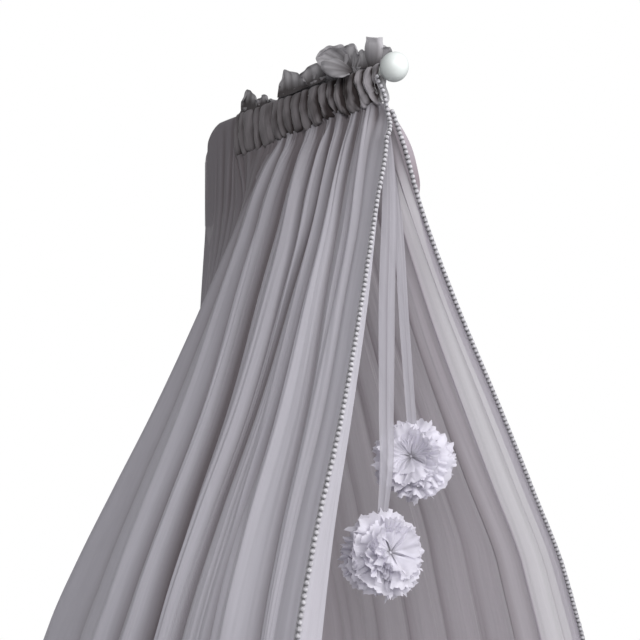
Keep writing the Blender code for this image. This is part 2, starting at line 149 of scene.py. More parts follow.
def spread_over(tree, value, low, high):
    """A value from 0 to 1, spread over another range."""
    return add_node(tree, "MapRange", Value=value, To_Min=low, To_Max=high).outputs["Result"]


floor_paint, tree, shader = new_material("floor_paint")
feed(tree, shader, Base_Color=spread_over(tree, noise_on(tree, 6.0, 4.0), 0.78, 0.84), Roughness=0.7)
shape = bmesh.new()
bmesh.ops.create_circle(shape, cap_ends=True, segments=96, radius=FLOOR_RADIUS)
bmesh.ops.translate(shape, verts=shape.verts, vec=FLOOR_MIDDLE)
floor = link_mesh("floor", shape, floor_paint)


# Wall arm. A 16 mm steel tube, bent down at the wall and fixed to a flat bar, both powder coated
# white. Tube and bar are the frame's own parts: only their finish is made here.
def mix_colours(tree, share, first, second, blend="MIX"):
    """A colour between two colours, each of which may be another node's output."""
    settings = {"data_type": "RGBA", "blend_type": blend}
    return add_node(tree, "Mix", settings, Factor=share, A=first, B=second).outputs["Result"]


def bumps(tree, height, strength, depth):
    return add_node(tree, "Bump", Strength=strength, Distance=depth, Height=height).outputs["Normal"]


def powder_coat(name, colour):
    """White powder coat: faint orange peel, and a slightly uneven gloss."""
    made, tree, shader = new_material(name)
    cloud = noise_on(tree, 14.0, 3.0)
    duller = [0.94 * part for part in colour]
    feed(
        tree, shader,
        Base_Color=mix_colours(tree, cloud, (*colour, 1.0), (*duller, 1.0)),
        Roughness=spread_over(tree, cloud, 0.34, 0.50),
        Normal=bumps(tree, noise_on(tree, 900.0, 2.0), 0.15, 0.0002),
    )
    return made


arm_coat = powder_coat("arm_coat", (0.82, 0.84, 0.83))
for node_name in ("arm_tube", "wall_plate"):
    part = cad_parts[node_name]
    part.data.materials.clear()
    part.data.materials.append(arm_coat)


# Ball. A turned wooden ball, lacquered white, pushed on the end of the tube, with a small flat and a
# fine turned groove at its back.
ball_low, ball_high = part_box("ball_finial")
BALL_RADIUS = (ball_high.z - ball_low.z) / 2.0
BALL_MIDDLE = (ball_low + ball_high) / 2.0
BALL_MIDDLE.y = ball_low.y + BALL_RADIUS
BALL_FLAT = ball_high.y - BALL_MIDDLE.y


def place(x, reach, drop):
    """A point x from the middle plane, reach from the ball towards the wall, drop below the arm."""
    return Vector((x, BALL_MIDDLE.y + reach, BALL_MIDDLE.z - drop))


lacquer = powder_coat("ball_lacquer", (0.60, 0.63, 0.62))
shape = bmesh.new()
GROOVE_DEPTH = 0.0005
PROFILE_STEPS = 40
last_angle = math.atan2(math.sqrt(BALL_RADIUS**2 - BALL_FLAT**2), -BALL_FLAT)
profile = [shape.verts.new((0.0, -BALL_RADIUS, 0.0))]
for step in range(1, PROFILE_STEPS + 1):
    angle = last_angle * step / PROFILE_STEPS
    radius = BALL_RADIUS - (GROOVE_DEPTH if step == PROFILE_STEPS - 4 else 0.0)
    profile.append(shape.verts.new((0.0, -radius * math.cos(angle), radius * math.sin(angle))))
profile.append(shape.verts.new((0.0, BALL_FLAT, 0.0)))
for first, second in zip(profile, profile[1:]):
    shape.edges.new((first, second))
bmesh.ops.spin(
    shape, geom=shape.verts[:] + shape.edges[:], cent=(0, 0, 0), axis=(0, 1, 0),
    angle=math.tau, steps=64, use_merge=True,
)
bmesh.ops.remove_doubles(shape, verts=shape.verts, dist=0.00001)
bmesh.ops.recalc_face_normals(shape, faces=shape.faces)
bmesh.ops.translate(shape, verts=shape.verts, vec=BALL_MIDDLE)
ball = link_mesh("ball", shape, lacquer)
ball.data.set_sharp_from_angle(angle=math.radians(40.0))
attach(ball, "root")
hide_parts("ball_finial")


# Voile panels. Two curtains of sheer lilac voile, gathered tight into the heading's bottom seam, so
# that they open into long folds on their way down. Each wraps over the arm behind the heading, meets
# the other at the wall, and ends in a narrow hem, turned up on the inside.
def thousandths(number):
    """Millimetres as metres, or thousandths as shares: one number, or nested tuples of them."""
    return tuple(map(thousandths, number)) if isinstance(number, tuple) else number / 1000.0


HEADING_FRONT = 0.0325
HEADING_BACK = 0.530
HEADING_LENGTH = HEADING_BACK - HEADING_FRONT
SLEEVE_TOP = 0.0135
SEAM_LINE = thousandths((  # reach, drop of the heading's bottom seam, in millimetres
    (-100, 67), (32.5, 67), (64, 68), (90, 66), (120, 73), (142, 67), (165, 60), (190, 67),
    (245, 76.5), (332, 78.5), (407, 90), (451, 93), (530, 88), (700, 88),
))
SEAM_DROP = 0.067
SEWN_DEPTH = 0.0035
FRONT_SEWN_REACH = HEADING_FRONT + 0.006
FLAP_SEWN_REACH = FRONT_SEWN_REACH - 0.002
CREST_SEWN_REACH = 0.376
PANEL_TOP = 0.08
HEM_DROP = 2.12
HEM_DEPTH = 0.024
HEM_SET_IN = 0.0009
WRAP_RADIUS = 0.0120
BEND_RADIUS = 0.068
BEND_START = 0.5847
MIDDLE_GAP = 0.0006
WALL_LIMIT = 0.6635
ROW_SHARES = (0.0, 0.005, 0.011, 0.03, 0.06, 0.10, 0.15, 0.21, 0.28, 0.36, 0.45, 0.57, 0.76, 1.0)

NEAR_EDGE = thousandths((  # drop, x, reach in millimetres, as in the tables below
    (67, 10, 30), (88, 7, 16.5), (106, 5.5, 12), (125, 12.5, 8.5), (150, 22, 2), (300, 70, -14),
    (500, 148, -48), (700, 236, -86), (900, 329, -116), (1100, 410, -150), (1500, 505, -195),
    (2120, 550, -210),
))
FAR_EDGE = (thousandths((67, 12, 35)), *NEAR_EDGE[4:])
FRONT_LINE = (thousandths((67, 12.5, 36)), *NEAR_EDGE[5:])
REAR_CORNER = thousandths((
    (78, 11, 376), (110, 26.5, 374), (150, 46, 383), (230, 78, 400), (320, 108, 418),
    (490, 169.5, 455), (620, 222, 480), (750, 279, 505), (900, 347, 540), (1050, 415, 572),
    (1190, 470, 600), (1500, 566, 630), (2120, 606, 640),
))
BACK_FOLD = thousandths((
    (90, 13, 524.5), (230, 28, 480), (490, 90, 530), (750, 200, 580), (1190, 370, 635),
    (1500, 450, 645), (2120, 480, 648),
))
BACK_RISER = thousandths((
    (90, 13.5, 536), (230, 26, 512), (490, 76, 560), (750, 170, 606), (1190, 325, 646),
    (2120, 420, 651),
))
BACK_SHOULDER = thousandths((
    (90, 14, 560), (230, 22, 552), (490, 58, 592), (750, 130, 628), (1190, 265, 650),
    (2120, 345, 654),
))
BACK_MIDDLE = thousandths((
    (90, 14, 600), (230, 18, 600), (490, 38, 628), (750, 80, 645), (1190, 170, 654),
    (2120, 230, 656),
))
LEG_SIDE = thousandths((
    (60, 13, 632), (150, 14.5, 633), (230, 18, 634), (350, 28, 643), (490, 36, 650), (750, 50, 655),
    (1190, 85, 656), (2120, 120, 656),
))
LEG_BACK = thousandths((
    (60, 12.8, 647), (150, 13.5, 647), (230, 17.5, 648), (350, 25, 653), (750, 30, 658),
    (2120, 50, 658),
))
BACK_SEAM = thousandths((
    (47, 0.6, 662), (70, 10, 660), (92, 13, 658.5), (250, 13, 658.5), (285, 6, 659),
    (310, 0.6, 659.5), (500, 0.6, 659.5), (2120, 0.6, 659.5),
))
NEAR_FLAP = thousandths((  # drop, inward, towards the wall
    (67, 0.5, -3), (300, 6, -1), (500, 18, 0), (700, 26, 0), (900, 45, 1), (1100, 60, 2),
    (2120, 60, 4),
))
FAR_FLAP = thousandths((
    (67, -2, -3), (150, -29, -2), (200, -32, 0), (235, -31, 4), (280, -15, 12), (400, -14, 26),
    (700, -16, 32), (2120, -18, 35),
))
BACK_LINES = (  # across, outline, start reach, start drop, bend angle, side angles, falls plumb first
    (-0.150, BACK_FOLD, 0.5245, 0.0930, 0.0, 90.0, 90.0, 0.0),
    (-0.190, BACK_RISER, 0.5230, 0.0, 0.0, 90.0, 90.0, 1.0),
    (-0.250, BACK_SHOULDER, 0.5300, 0.0, 0.0, 0.0, 90.0, 1.0),
    (-0.330, BACK_MIDDLE, BEND_START, 0.0, 12.0, 0.0, 90.0, 1.0),
    (-0.430, LEG_SIDE, BEND_START, 0.0, 45.0, 0.0, 90.0, 1.0),
    (-0.470, LEG_BACK, BEND_START, 0.0, 62.0, 0.0, 90.0, 1.0),
    (-0.500, BACK_SEAM, BEND_START, 0.0, 75.0, 0.0, 0.0, 0.0),
)
FLAP_ACROSS = 1.080
SIDE_STATIONS = (0.93, 0.86, 0.75, 0.60, 0.45, 0.30, 0.20, 0.10)
SIDE_BOW = 0.018

# A fold's place is its share of the way from the rear corner (0) to the trim (1), at six drops, and
# its depth is how far it stands in (-) or out (+) there. Its spread is its half width as a share.
FOLD_DROPS = (0.080, 0.130, 0.250, 0.400, 0.700, 1.100)
NEAR_FOLDS = thousandths((  # shares at the six drops, spread, depths at the six drops
    ((956, 940, 913, 908, 922, 928), 10, (-5, -5, -5, -5, -4, -3)),
    ((918, 903, 874, 876, 886, 914), 14, (6, 7, 7, 5, 4, 4)),
    ((896, 879, 853, 855, 878, 902), 6, (-9, -8, -8, -7, 0, 0)),
    ((834, 810, 779, 790, 839, 873), 15, (-15, -15, -14, -12, -13, -14)),
    ((805, 773, 734, 740, 763, 797), 26, (8, 9, 12, 14, 15, 14)),
    ((723, 706, 691, 694, 709, 712), 14, (-20, -22, -24, -18, -14, -10)),
    ((660, 655, 651, 658, 685, 742), 14, (7, 7, 9, 8, 6, 8)),
    ((597, 605, 615, 609, 609, 602), 17, (-14, -15, -16, -17, -19, -17)),
    ((580, 557, 556, 582, 597, 590), 7, (7, 8, 7, 6, 0, 0)),
    ((488, 494, 504, 545, 575, 572), 12, (-17, -18, -19, -17, -10, -4)),
    ((380, 394, 440, 485, 530, 548), 28, (7, 9, 13, 13, 12, 12)),
    ((302, 302, 322, 355, 432, 485), 30, (-16, -18, -22, -26, -30, -31)),
    ((165, 194, 231, 259, 359, 418), 24, (6, 7, 9, 9, 10, 12)),
    ((132, 135, 146, 209, 306, 344), 22, (-10, -10, -12, -15, -17, -16)),
    ((76, 66, 92, 128, 216, 288), 24, (4, 6, 8, 9, 10, 11)),
    ((35, -4, 22, 68, 112, 170), 22, (-6, -6, -8, -9, -9, -9)),
))
FAR_FOLDS = thousandths((
    ((964, 964, 968, 972, 975, 975), 10, (4, 4, 8, 10, 10, 10)),
    ((945, 945, 945, 945, 945, 945), 8, (-4, -4, -7, -8, -8, -8)),
    ((900, 900, 900, 900, 900, 905), 22, (4, 4, 7, 10, 12, 12)),
    ((850, 850, 850, 845, 835, 850), 16, (-5, -5, -7, -9, -10, -10)),
    ((800, 800, 800, 790, 780, 805), 26, (6, 6, 10, 14, 18, 20)),
    ((700, 700, 702, 705, 708, 760), 24, (-7, -7, -10, -12, -16, -17)),
    ((640, 640, 642, 645, 660, 700), 30, (4, 4, 6, 8, 10, 11)),
    ((560, 560, 560, 560, 570, 600), 20, (-3, -3, -4, -5, -7, -7)),
    ((480, 480, 482, 485, 500, 545), 30, (3, 3, 4, 6, 9, 10)),
    ((400, 400, 402, 405, 415, 440), 20, (-3, -3, -4, -5, -7, -7)),
    ((330, 330, 330, 330, 335, 350), 30, (3, 3, 4, 6, 9, 10)),
    ((250, 250, 250, 250, 255, 260), 20, (-3, -3, -4, -5, -7, -7)),
    ((170, 170, 170, 170, 175, 180), 30, (3, 3, 4, 6, 9, 10)),
    ((90, 90, 90, 90, 90, 95), 18, (-3, -3, -4, -5, -6, -6)),
))
# Painted light: the bands between these lines are sheer and painted paler, as lit.
FAR_SHEER_AND_LIGHT = thousandths((  # drop, then where the dark part ends and a crease, a band and a crease lie
    (100, 735, 795, 876, 899),
    (250, 710, 796, 900, 923),
    (400, 696, 798, 916, 936),
    (700, 641, 764, 883, 907),
    (1100, 712, 811, 898, 942),
))
PANEL_ROWS = 164
HEM_ROWS = 3
ROW_CROWDING = 1.6
SIDE_COLUMNS = 380
BACK_COLUMNS = 160
FLAP_COLUMNS = 14
CLOTH_WIDTH = 0.95
GATHERS = 60
LOOSE_CREASES = 90
RIPPLES = (17.0, 29.0, 43.0, 61.0, 88.0)


def curve(t, step, here, there, slope_here, slope_there):
    """Smooth curve between two values with given slopes, at t from 0 to 1 of the step."""
    low = (2 * t**3 - 3 * t**2 + 1) * here + (t**3 - 2 * t**2 + t) * step * slope_here
    high = (3 * t**2 - 2 * t**3) * there + (t**3 - t**2) * step * slope_there
    return low + high


def smooth_column(table, column, at):
    """Smooth curve through one column of a table, read at many values of its first column."""
    knots = np.array([row[0] for row in table], float)
    values = np.array([row[column] for row in table], float)
    at = np.clip(at, knots[0], knots[-1])
    index = np.clip(np.searchsorted(knots, at, side="right") - 1, 0, len(knots) - 2)
    rise = np.append(values[1:], values[-1]) - np.insert(values[:-1], 0, values[0])
    run = np.append(knots[1:], knots[-1]) - np.insert(knots[:-1], 0, knots[0])
    slopes = rise / run
    step = knots[index + 1] - knots[index]
    t = (at - knots[index]) / step
    return curve(t, step, values[index], values[index + 1], slopes[index], slopes[index + 1])


def smooth_columns(table, columns, at):
    """The same for several columns."""
    return [smooth_column(table, column, at) for column in columns]


def ease(value):
    value = np.clip(value, 0.0, 1.0)
    return value * value * (3.0 - 2.0 * value)


def sleeve_bottom(reach):
    """Drop of the heading's bottom seam, which rises and sags along the arm."""
    return smooth_column(SEAM_LINE, 1, reach)


def fold_track(fold, drop):
    """Where one fold lies across the panel, and how deep it is, at many drops."""
    return smooth_columns(tuple(zip(FOLD_DROPS, fold[0], fold[2])), (1, 2), drop)


def thread_lines(folds, threads, drops):
    """How far across the panel each thread lies at each drop: threads run along the folds."""
    tops = [-0.5, 0.0]
    tracks = [np.full_like(drops, -0.5), np.zeros_like(drops)]
    for fold in reversed(folds):
        if fold[0][0] > tops[-1] + 0.02 and fold[2][1] < 0.0:
            tops.append(fold[0][0])
            tracks.append(fold_track(fold, drops)[0])
    tops += [1.0, FLAP_ACROSS]
    tracks += [np.ones_like(drops), np.full_like(drops, FLAP_ACROSS)]
    tracks = np.maximum.accumulate(np.array(tracks))
    return np.array([np.interp(threads, tops, track) for track in tracks.T])


def plan_keys(front_edge, flap, drop):
    """The panel's outline at many drops, as keys from the back seam to the flap's edge: how far
    across each one is, and its x and reach."""
    edge_line, front, corner, edge = [
        smooth_columns(table, (1, 2), drop) for table in (front_edge, FRONT_LINE, REAR_CORNER, flap)
    ]
    run = [front[0] - corner[0], front[1] - corner[1]]
    length = np.hypot(run[0], run[1])
    growth = np.clip((drop - SEAM_DROP) / 0.400, 0.0, 1.0)
    growth = growth * (2.0 - growth)
    across = [line[0] for line in reversed(BACK_LINES)] + [0.0]
    keys = [smooth_columns(line[1], (1, 2), drop) for line in reversed(BACK_LINES)] + [corner]
    for share in reversed(SIDE_STATIONS):
        bow = SIDE_BOW * math.sin(math.pi * share) * growth
        across.append(share)
        keys.append([
            corner[0] + run[0] * share - run[1] / length * bow,
            corner[1] + run[1] * share + run[0] / length * bow,
        ])
    across += [1.0, FLAP_ACROSS]
    keys += [edge_line, [edge_line[0] - edge[0], edge_line[1] + edge[1]]]
    return np.array(across), np.array(keys)


def smooth_plan(across, keys, at):
    """Smooth curve through the plan's keys, read at one place across for each point."""
    index = np.clip(np.searchsorted(across, at, side="right") - 1, 0, len(across) - 2)
    before = np.maximum(index - 1, 0)
    after = np.minimum(index + 2, len(across) - 1)
    step = across[index + 1] - across[index]
    t = (at - across[index]) / step
    found = []
    for axis in (0, 1):
        def key(number):
            return np.take_along_axis(keys[:, axis], number[None], axis=0)[0]
        here, there = key(index), key(index + 1)
        slope_here = (there - key(before)) / (across[index + 1] - across[before])
        slope_there = (key(after) - here) / (across[after] - across[index])
        found.append(curve(t, step, here, there, slope_here, slope_there))
    return found


def fold_depths(folds, across, drop, threads, fallen, seed):
    """How far the cloth stands out from its outline: long folds, gathers that fade below the seam,
    fine creases that come and go, and soft ripples along the threads."""
    depth = np.zeros_like(across)
    opening = ease((drop - 0.055) / 0.120)
    deeper = 1.0 + 0.5 * ease((drop - 0.400) / 1.200)
    for fold in folds:
        share, out = fold_track(fold, drop)
        spread = fold[1] * (1.0 + 0.3 * ease((drop - 1.1) / 0.8) + 0.6 * np.exp(-fallen / 0.12))
        offset = np.abs(across - share) / spread
        sharp = 1.25 if fold[2][1] < 0.0 else 2.0
        depth += out * np.exp(-(offset**sharp)) * (0.60 + 0.40 * opening) * deeper
    luck = random.Random(seed)
    lean = threads[None, :] * np.ones_like(across)
    for gather in range(GATHERS):
        at = -0.25 + 1.25 * (gather + luck.uniform(-0.35, 0.35)) / GATHERS
        spread = luck.uniform(0.0035, 0.0080)
        deep = luck.uniform(0.0030, 0.0105)
        length = luck.choice((0.03, 0.05, 0.09, 0.16, 0.30))
        drift = luck.uniform(-0.02, 0.02)
        offset = np.abs(lean - at - drift * fallen) / spread
        depth -= deep * np.exp(-(offset**1.3)) * np.exp(-((fallen / length) ** 1.5))
    for _ in range(LOOSE_CREASES):
        at = luck.uniform(-0.30, 1.0)
        spread = luck.uniform(0.0050, 0.0140)
        deep = luck.uniform(0.0006, 0.0026) * luck.choice((1.0, 1.0, -0.7))
        middle = luck.uniform(0.10, 1.70)
        length = luck.uniform(0.12, 0.55)
        drift = luck.uniform(-0.03, 0.03)
        offset = np.abs(lean - at - drift * (fallen - middle)) / spread
        depth -= deep * np.exp(-(offset**1.3)) * np.exp(-(((fallen - middle) / length) ** 2))
    for cycles in RIPPLES:
        phase = luck.uniform(0.0, math.tau)
        sway = luck.uniform(0.5, 1.6)
        size = 0.0020 * (RIPPLES[0] / cycles) ** 1.1 * (0.45 + 0.55 * ease(lean / 0.35))
        wave = np.sin(math.tau * cycles * lean + phase + 1.2 * np.sin(sway * drop * 3.0 + phase))
        patch = 0.5 + 0.5 * np.sin(math.tau * 2.3 * lean + 2.0 * sway * drop + 3.0 * phase)
        depth += size * wave * patch * ease((fallen - 0.05) / 0.5)
    behind = ease((-0.02 - lean) / 0.06) * ease(fallen / 0.120)
    depth += 0.0024 * np.sin(math.tau * 21.0 * lean + 0.8 * np.sin(5.0 * drop)) * behind
    hanging_free = ease((across + 0.42) / 0.14)
    sewn = ease(fallen / 0.020)
    return depth * hanging_free * (0.35 + 0.65 * sewn)


def hang_grid(name, points, weave, fold_layers_and_shade, gathers_and_painted_shading, finish, turned=False):
    """A sheet of cloth: a grid whose points go to an x, reach and drop, with its weave's two
    directions. Its two marks are how deep a point lies in a fold, which darkens it as layered cloth
    and as painted shade, and how gathered it lies, which darkens it as dense cloth and as painted
    shade, and below zero pales it as painted light."""
    x, reach, drop, fold_layers_and_shade, gathers_and_painted_shading, *weave = np.broadcast_arrays(*points, fold_layers_and_shade, gathers_and_painted_shading, *weave)
    spots = np.stack((x, BALL_MIDDLE.y + reach, BALL_MIDDLE.z - drop), axis=-1)
    rows, columns = x.shape[0] - 1, x.shape[1] - 1
    shape = bmesh.new()
    bmesh.ops.create_grid(shape, x_segments=columns, y_segments=rows, size=1.0)
    if turned:
        bmesh.ops.reverse_faces(shape, faces=shape.faces)
    made = link_mesh(name, shape, finish)
    mesh = made.data
    flat = np.empty(len(mesh.vertices) * 3)
    mesh.vertices.foreach_get("co", flat)
    column = np.rint((flat[0::3] + 1.0) / 2.0 * columns).astype(int)
    row = np.rint((flat[1::3] + 1.0) / 2.0 * rows).astype(int)
    mesh.vertices.foreach_set("co", spots[row, column].ravel())
    for mark, values in (("fold_layers_and_shade", fold_layers_and_shade), ("gathers_and_painted_shading", gathers_and_painted_shading)):
        layer = mesh.attributes.new(mark, "FLOAT", "POINT")
        layer.data.foreach_set("value", np.clip(values[row, column], -1.0, 1.0).ravel())
    corners = np.empty(len(mesh.loops), int)
    mesh.loops.foreach_get("vertex_index", corners)
    layer = mesh.uv_layers.new(name="weave")
    layer.data.foreach_set("uv", np.stack(weave, axis=-1)[row, column][corners].ravel())
    mesh.update()
    return made


def hang_panel(name, side, folds, front_edge, flap, sheer_and_painted_light, finish, seed):
    """One side of the net, from the heading's seam, or from over the arm's bend, down to its hem."""
    threads = np.concatenate((
        np.linspace(-0.5, 0.0, BACK_COLUMNS, endpoint=False),
        np.linspace(0.0, 1.0, SIDE_COLUMNS, endpoint=False),
        np.linspace(1.0, FLAP_ACROSS, FLAP_COLUMNS + 1),
    ))
    length = HEM_DROP - PANEL_TOP
    hem_share = HEM_DEPTH / length
    row_shares = (1.0 - hem_share) * (np.arange(PANEL_ROWS + 1) / PANEL_ROWS) ** ROW_CROWDING
    hem_shares = 1.0 - hem_share + hem_share * np.arange(1, HEM_ROWS + 1) / HEM_ROWS
    row_shares = np.concatenate((row_shares, hem_shares, hem_shares[-2::-1], [1.0 - 0.9 * hem_share]))
    turned_up = (np.arange(len(row_shares)) > PANEL_ROWS + HEM_ROWS) * 1.0
    stations = np.interp(row_shares, ROW_SHARES, np.arange(len(ROW_SHARES)))

    starts = [[line[0], *line[2:]] for line in reversed(BACK_LINES)]
    sewn = zip(np.linspace(0.0, 1.0, 33), np.linspace(CREST_SEWN_REACH, FRONT_SEWN_REACH, 33))
    for share, reach in (*sewn, (FLAP_ACROSS, FLAP_SEWN_REACH)):
        starts.append([share, reach, sleeve_bottom(reach) - SEWN_DEPTH, 0.0, 90.0, 90.0, 0.0])
    marks, *starts = np.array(starts).T
    starts = [np.interp(threads, marks, start)[None, :] for start in starts]
    reach, drop, bend, first, last, plumb = starts
    bend = np.radians(bend)
    reach = reach + BEND_RADIUS * np.sin(bend)
    drop = drop + BEND_RADIUS * (1.0 - np.cos(bend))

    shares = row_shares[:, None]
    level = 1.0 - shares
    wrapped = np.minimum(shares / ROW_SHARES[2], 1.0)
    angle = np.radians(first + (last - first) * wrapped)
    lift = WRAP_RADIUS * np.cos(angle)
    held = plumb * np.minimum(shares, ROW_SHARES[2]) * level
    fallen = (HEM_DROP - drop) * (shares - held)
    here_drop = drop + fallen - lift * np.cos(bend) * level
    top_x = WRAP_RADIUS * np.sin(angle)
    top_reach = reach + lift * np.sin(bend)

    row_drops = PANEL_TOP + length * row_shares
    across = thread_lines(folds, threads, row_drops)
    key_across, keys = plan_keys(front_edge, flap, here_drop)
    plan_x, plan_reach = smooth_plan(key_across, keys, across)
    run_x = np.gradient(plan_x, axis=1)
    run_reach = np.gradient(plan_reach, axis=1)
    run = np.hypot(run_x, run_reach) + 1e-9
    folded = fold_depths(folds, across, here_drop, threads, fallen, seed)
    depth = folded - HEM_SET_IN * turned_up[:, None]
    plan_x = plan_x - run_reach / run * depth
    plan_reach = plan_reach + run_x / run * depth

    share = ease((stations[:, None] - 1.5 * plumb) / (1.0 + 5.0 * plumb))
    x = np.maximum(top_x + (plan_x - top_x) * share, MIDDLE_GAP)
    reach = np.minimum(top_reach + (plan_reach - top_reach) * share, WALL_LIMIT)
    weave = (threads[None, :] * CLOTH_WIDTH, HEM_DROP - here_drop)
    # Painted shade: darker towards the wall at the rear, and in the folds, most of all just under the
    # seam. The gathers near the top darken it as dense cloth, and the sheer parts are painted paler, as
    # lit.
    painted_rear_shade = ease((0.05 - threads[None, :]) / 0.10) * np.exp(-fallen / 0.95)
    fold_layers_and_shade = -folded / 0.021 * (1.0 + 2.4 * np.exp(-fallen / 0.045) - 0.30 * ease((fallen - 0.4) / 0.8))
    gathers_and_painted_shading = np.exp(-fallen / 0.30) * 0.46 + painted_rear_shade * 0.92
    gathers_and_painted_shading = gathers_and_painted_shading - ease((fallen - 0.06) / 0.15) * sheer_and_painted_light(across, row_drops)
    return hang_grid(name, (side * x, reach, here_drop), weave, fold_layers_and_shade, gathers_and_painted_shading, finish, turned=side > 0.0)


def near_sheer_and_light(across, drops):
    """How far the near panel is a single smooth layer that lets most light through, painted paler as
    lit: its turned edge.
    """
    return 0.95 * ease((across - 1.0) / 0.02)


def far_sheer_and_light(across, drops):
    """The same for the far panel, also painted paler as lit: bands along its trim, between the lines of
    its folds.
    """
    dark, line, band, crease = smooth_columns(FAR_SHEER_AND_LIGHT, range(1, 5), drops)
    end = np.full_like(drops, 1.01)
    knots = np.array((dark - 0.03, (dark + line) / 2.0, line, band, crease, (crease + 1.0) / 2.0, end))
    amounts = np.tile((0.0, 0.20, 0.05, 0.92, 0.55, 0.92, 0.0), (len(drops), 1))
    amounts[:, -1] = 0.90 - 1.60 * ease((0.30 - drops) / 0.06)
    return np.array([np.interp(*row) for row in zip(across, knots.T, amounts)])


def calculate(tree, operation, *values, clamp=False):
    """The result of a sum on numbers or other nodes' outputs."""
    return add_node(tree, "Math", {"operation": operation, "use_clamp": clamp}, *values).outputs[0]


def weave_group():
    """Plain weave of fine yarn with slubs, from a UV map in metres: thread height and thickness."""
    group = bpy.data.node_groups.new("voile_weave", "ShaderNodeTree")
    for name, way in (("Pitch", "INPUT"), ("Height", "OUTPUT"), ("Slub", "OUTPUT")):
        group.interface.new_socket(name, in_out=way, socket_type="NodeSocketFloat")
    pitch = group.nodes.new("NodeGroupInput").outputs["Pitch"]
    where = add_node(group, "UVMap", {"uv_map": "weave"}).outputs["UV"]
    split = add_node(group, "SeparateXYZ", (), where)
    yarns = []
    for axis in ("X", "Y"):
        turns = calculate(group, "DIVIDE", split.outputs[axis], pitch)
        yarns.append(calculate(group, "SINE", calculate(group, "MULTIPLY", turns, math.tau)))
    stretch = add_node(group, "Mapping", Vector=where, Scale=(260.0, 9.0, 1.0)).outputs[0]
    slub = add_node(group, "TexNoise", Vector=stretch, Scale=1.0, Detail=3.0).outputs["Fac"]
    height = calculate(group, "MAXIMUM", *yarns)
    feed(group, group.nodes.new("NodeGroupOutput"), Height=height, Slub=slub)
    return group


voile_weave = weave_group()


def cloth_mark(tree, name):
    """A mark that lies on the cloth's own points."""
    return add_node(tree, "Attribute", {"attribute_name": name}).outputs["Fac"]


def voile(name, open_colour, dense_and_shaded_colour, cover, glow):
    """Sheer voile: lighter where it opens out, darker in its folds and where it is gathered, as layered
    cloth and as painted shade, and painted paler, as lit, where it is marked sheer. cover is
    how much of the light a single layer stops, glow the share that it passes on, scattered."""
    made, tree, shader = new_material(name)
    weave = add_node(tree, "Group", {"node_tree": voile_weave}, Pitch=0.0009)
    slub = weave.outputs["Slub"]
    fold_layers_and_shade, gathers_and_painted_shading = cloth_mark(tree, "fold_layers_and_shade"), cloth_mark(tree, "gathers_and_painted_shading")
    layers = calculate(tree, "MAXIMUM", fold_layers_and_shade, 0.0)
    # deep mixes in the dark colour: partly layered and gathered cloth, partly painted shade.
    deep = calculate(tree, "MULTIPLY_ADD", gathers_and_painted_shading, 0.80, layers, clamp=True)
    sheer_and_painted_light = calculate(tree, "MULTIPLY", gathers_and_painted_shading, -1.0, clamp=True)
    tint = mix_colours(tree, deep, (*open_colour, 1.0), (*dense_and_shaded_colour, 1.0))
    # Painted light: the sheer, lit parts are paled towards a light lilac.
    tint = mix_colours(tree, calculate(tree, "MULTIPLY", sheer_and_painted_light, 0.50), tint, (0.80, 0.78, 0.86, 1.0))
    tint = mix_colours(tree, 1.0, tint, spread_over(tree, slub, 0.93, 1.07), blend="MULTIPLY")
    feed(
        tree, shader, Base_Color=tint, Roughness=spread_over(tree, slub, 0.82, 0.94),
        Specular_IOR_Level=0.15, Sheen_Weight=0.25, Sheen_Roughness=0.45,
        Normal=bumps(tree, weave.outputs["Height"], 0.12, 0.0003),
    )
    through = add_node(tree, "BsdfTranslucent", Color=tint).outputs[0]
    cloth = add_node(tree, "MixShader", (), glow, shader.outputs[0], through).outputs[0]
    stops = calculate(tree, "MULTIPLY_ADD", sheer_and_painted_light, -0.26, spread_over(tree, deep, cover, 1.0))
    clear = add_node(tree, "BsdfTransparent").outputs[0]
    sheer = add_node(tree, "MixShader", (), stops, clear, cloth).outputs[0]
    feed(tree, tree.nodes["Material Output"], Surface=sheer)
    return made


panel_voile = voile("panel_voile", (0.52, 0.507, 0.555), (0.190, 0.168, 0.180), 0.90, 0.34)
near_panel = hang_panel(
    "voile_near", -1.0, NEAR_FOLDS, NEAR_EDGE, NEAR_FLAP, near_sheer_and_light, panel_voile, seed=11
)
# A darker, more mauve copy of the same voile for the far panel: painted shade of the canopy's inside.
shaded_inner_voile = voile("shaded_inner_voile", (0.455, 0.405, 0.455), (0.150, 0.104, 0.120), 0.90, 0.34)
far_panel = hang_panel("voile_far", 1.0, FAR_FOLDS, FAR_EDGE, FAR_FLAP, far_sheer_and_light, shaded_inner_voile, seed=23)
for panel, node_name in ((near_panel, "panel_near"), (far_panel, "panel_far")):
    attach(panel, "root")
    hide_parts(node_name)


# Heading. The top of the same voile, doubled over and shirred between two rows of stitches into a
# sleeve for the arm, so tight that it puffs out between them in crescents with deep creases.
FULLNESS = 2.4  # cloth to a metre of the gathered heading
SLEEVE_COLUMNS = 34
SLEEVE_ROWS = 640
SLEEVE_OUTLINE = (  # share of the way down, half width, share of the drop
    (0.00, 0.0030, 0.00), (0.14, 0.0125, 0.06), (0.35, 0.0182, 0.32), (0.60, 0.0195, 0.60),
    (0.80, 0.0180, 0.86), (0.93, 0.0125, 0.99), (1.00, 0.0004, 0.98),
)
SLEEVE_SHADE = (  # reach, how dark the crowded layers and the painted shade lie, how strongly the creases' painted shade shows
    (0.0325, 0.10, 1.10), (0.060, 0.06, 1.15), (0.085, 0.20, 1.15), (0.105, 0.95, 0.95),
    (0.130, 1.00, 0.85), (0.155, 0.66, 0.90), (0.180, 0.78, 0.80), (0.205, 0.72, 0.62),
    (0.250, 0.78, 0.42), (0.310, 0.76, 0.36), (0.400, 0.72, 0.30), (0.530, 0.68, 0.24),
)


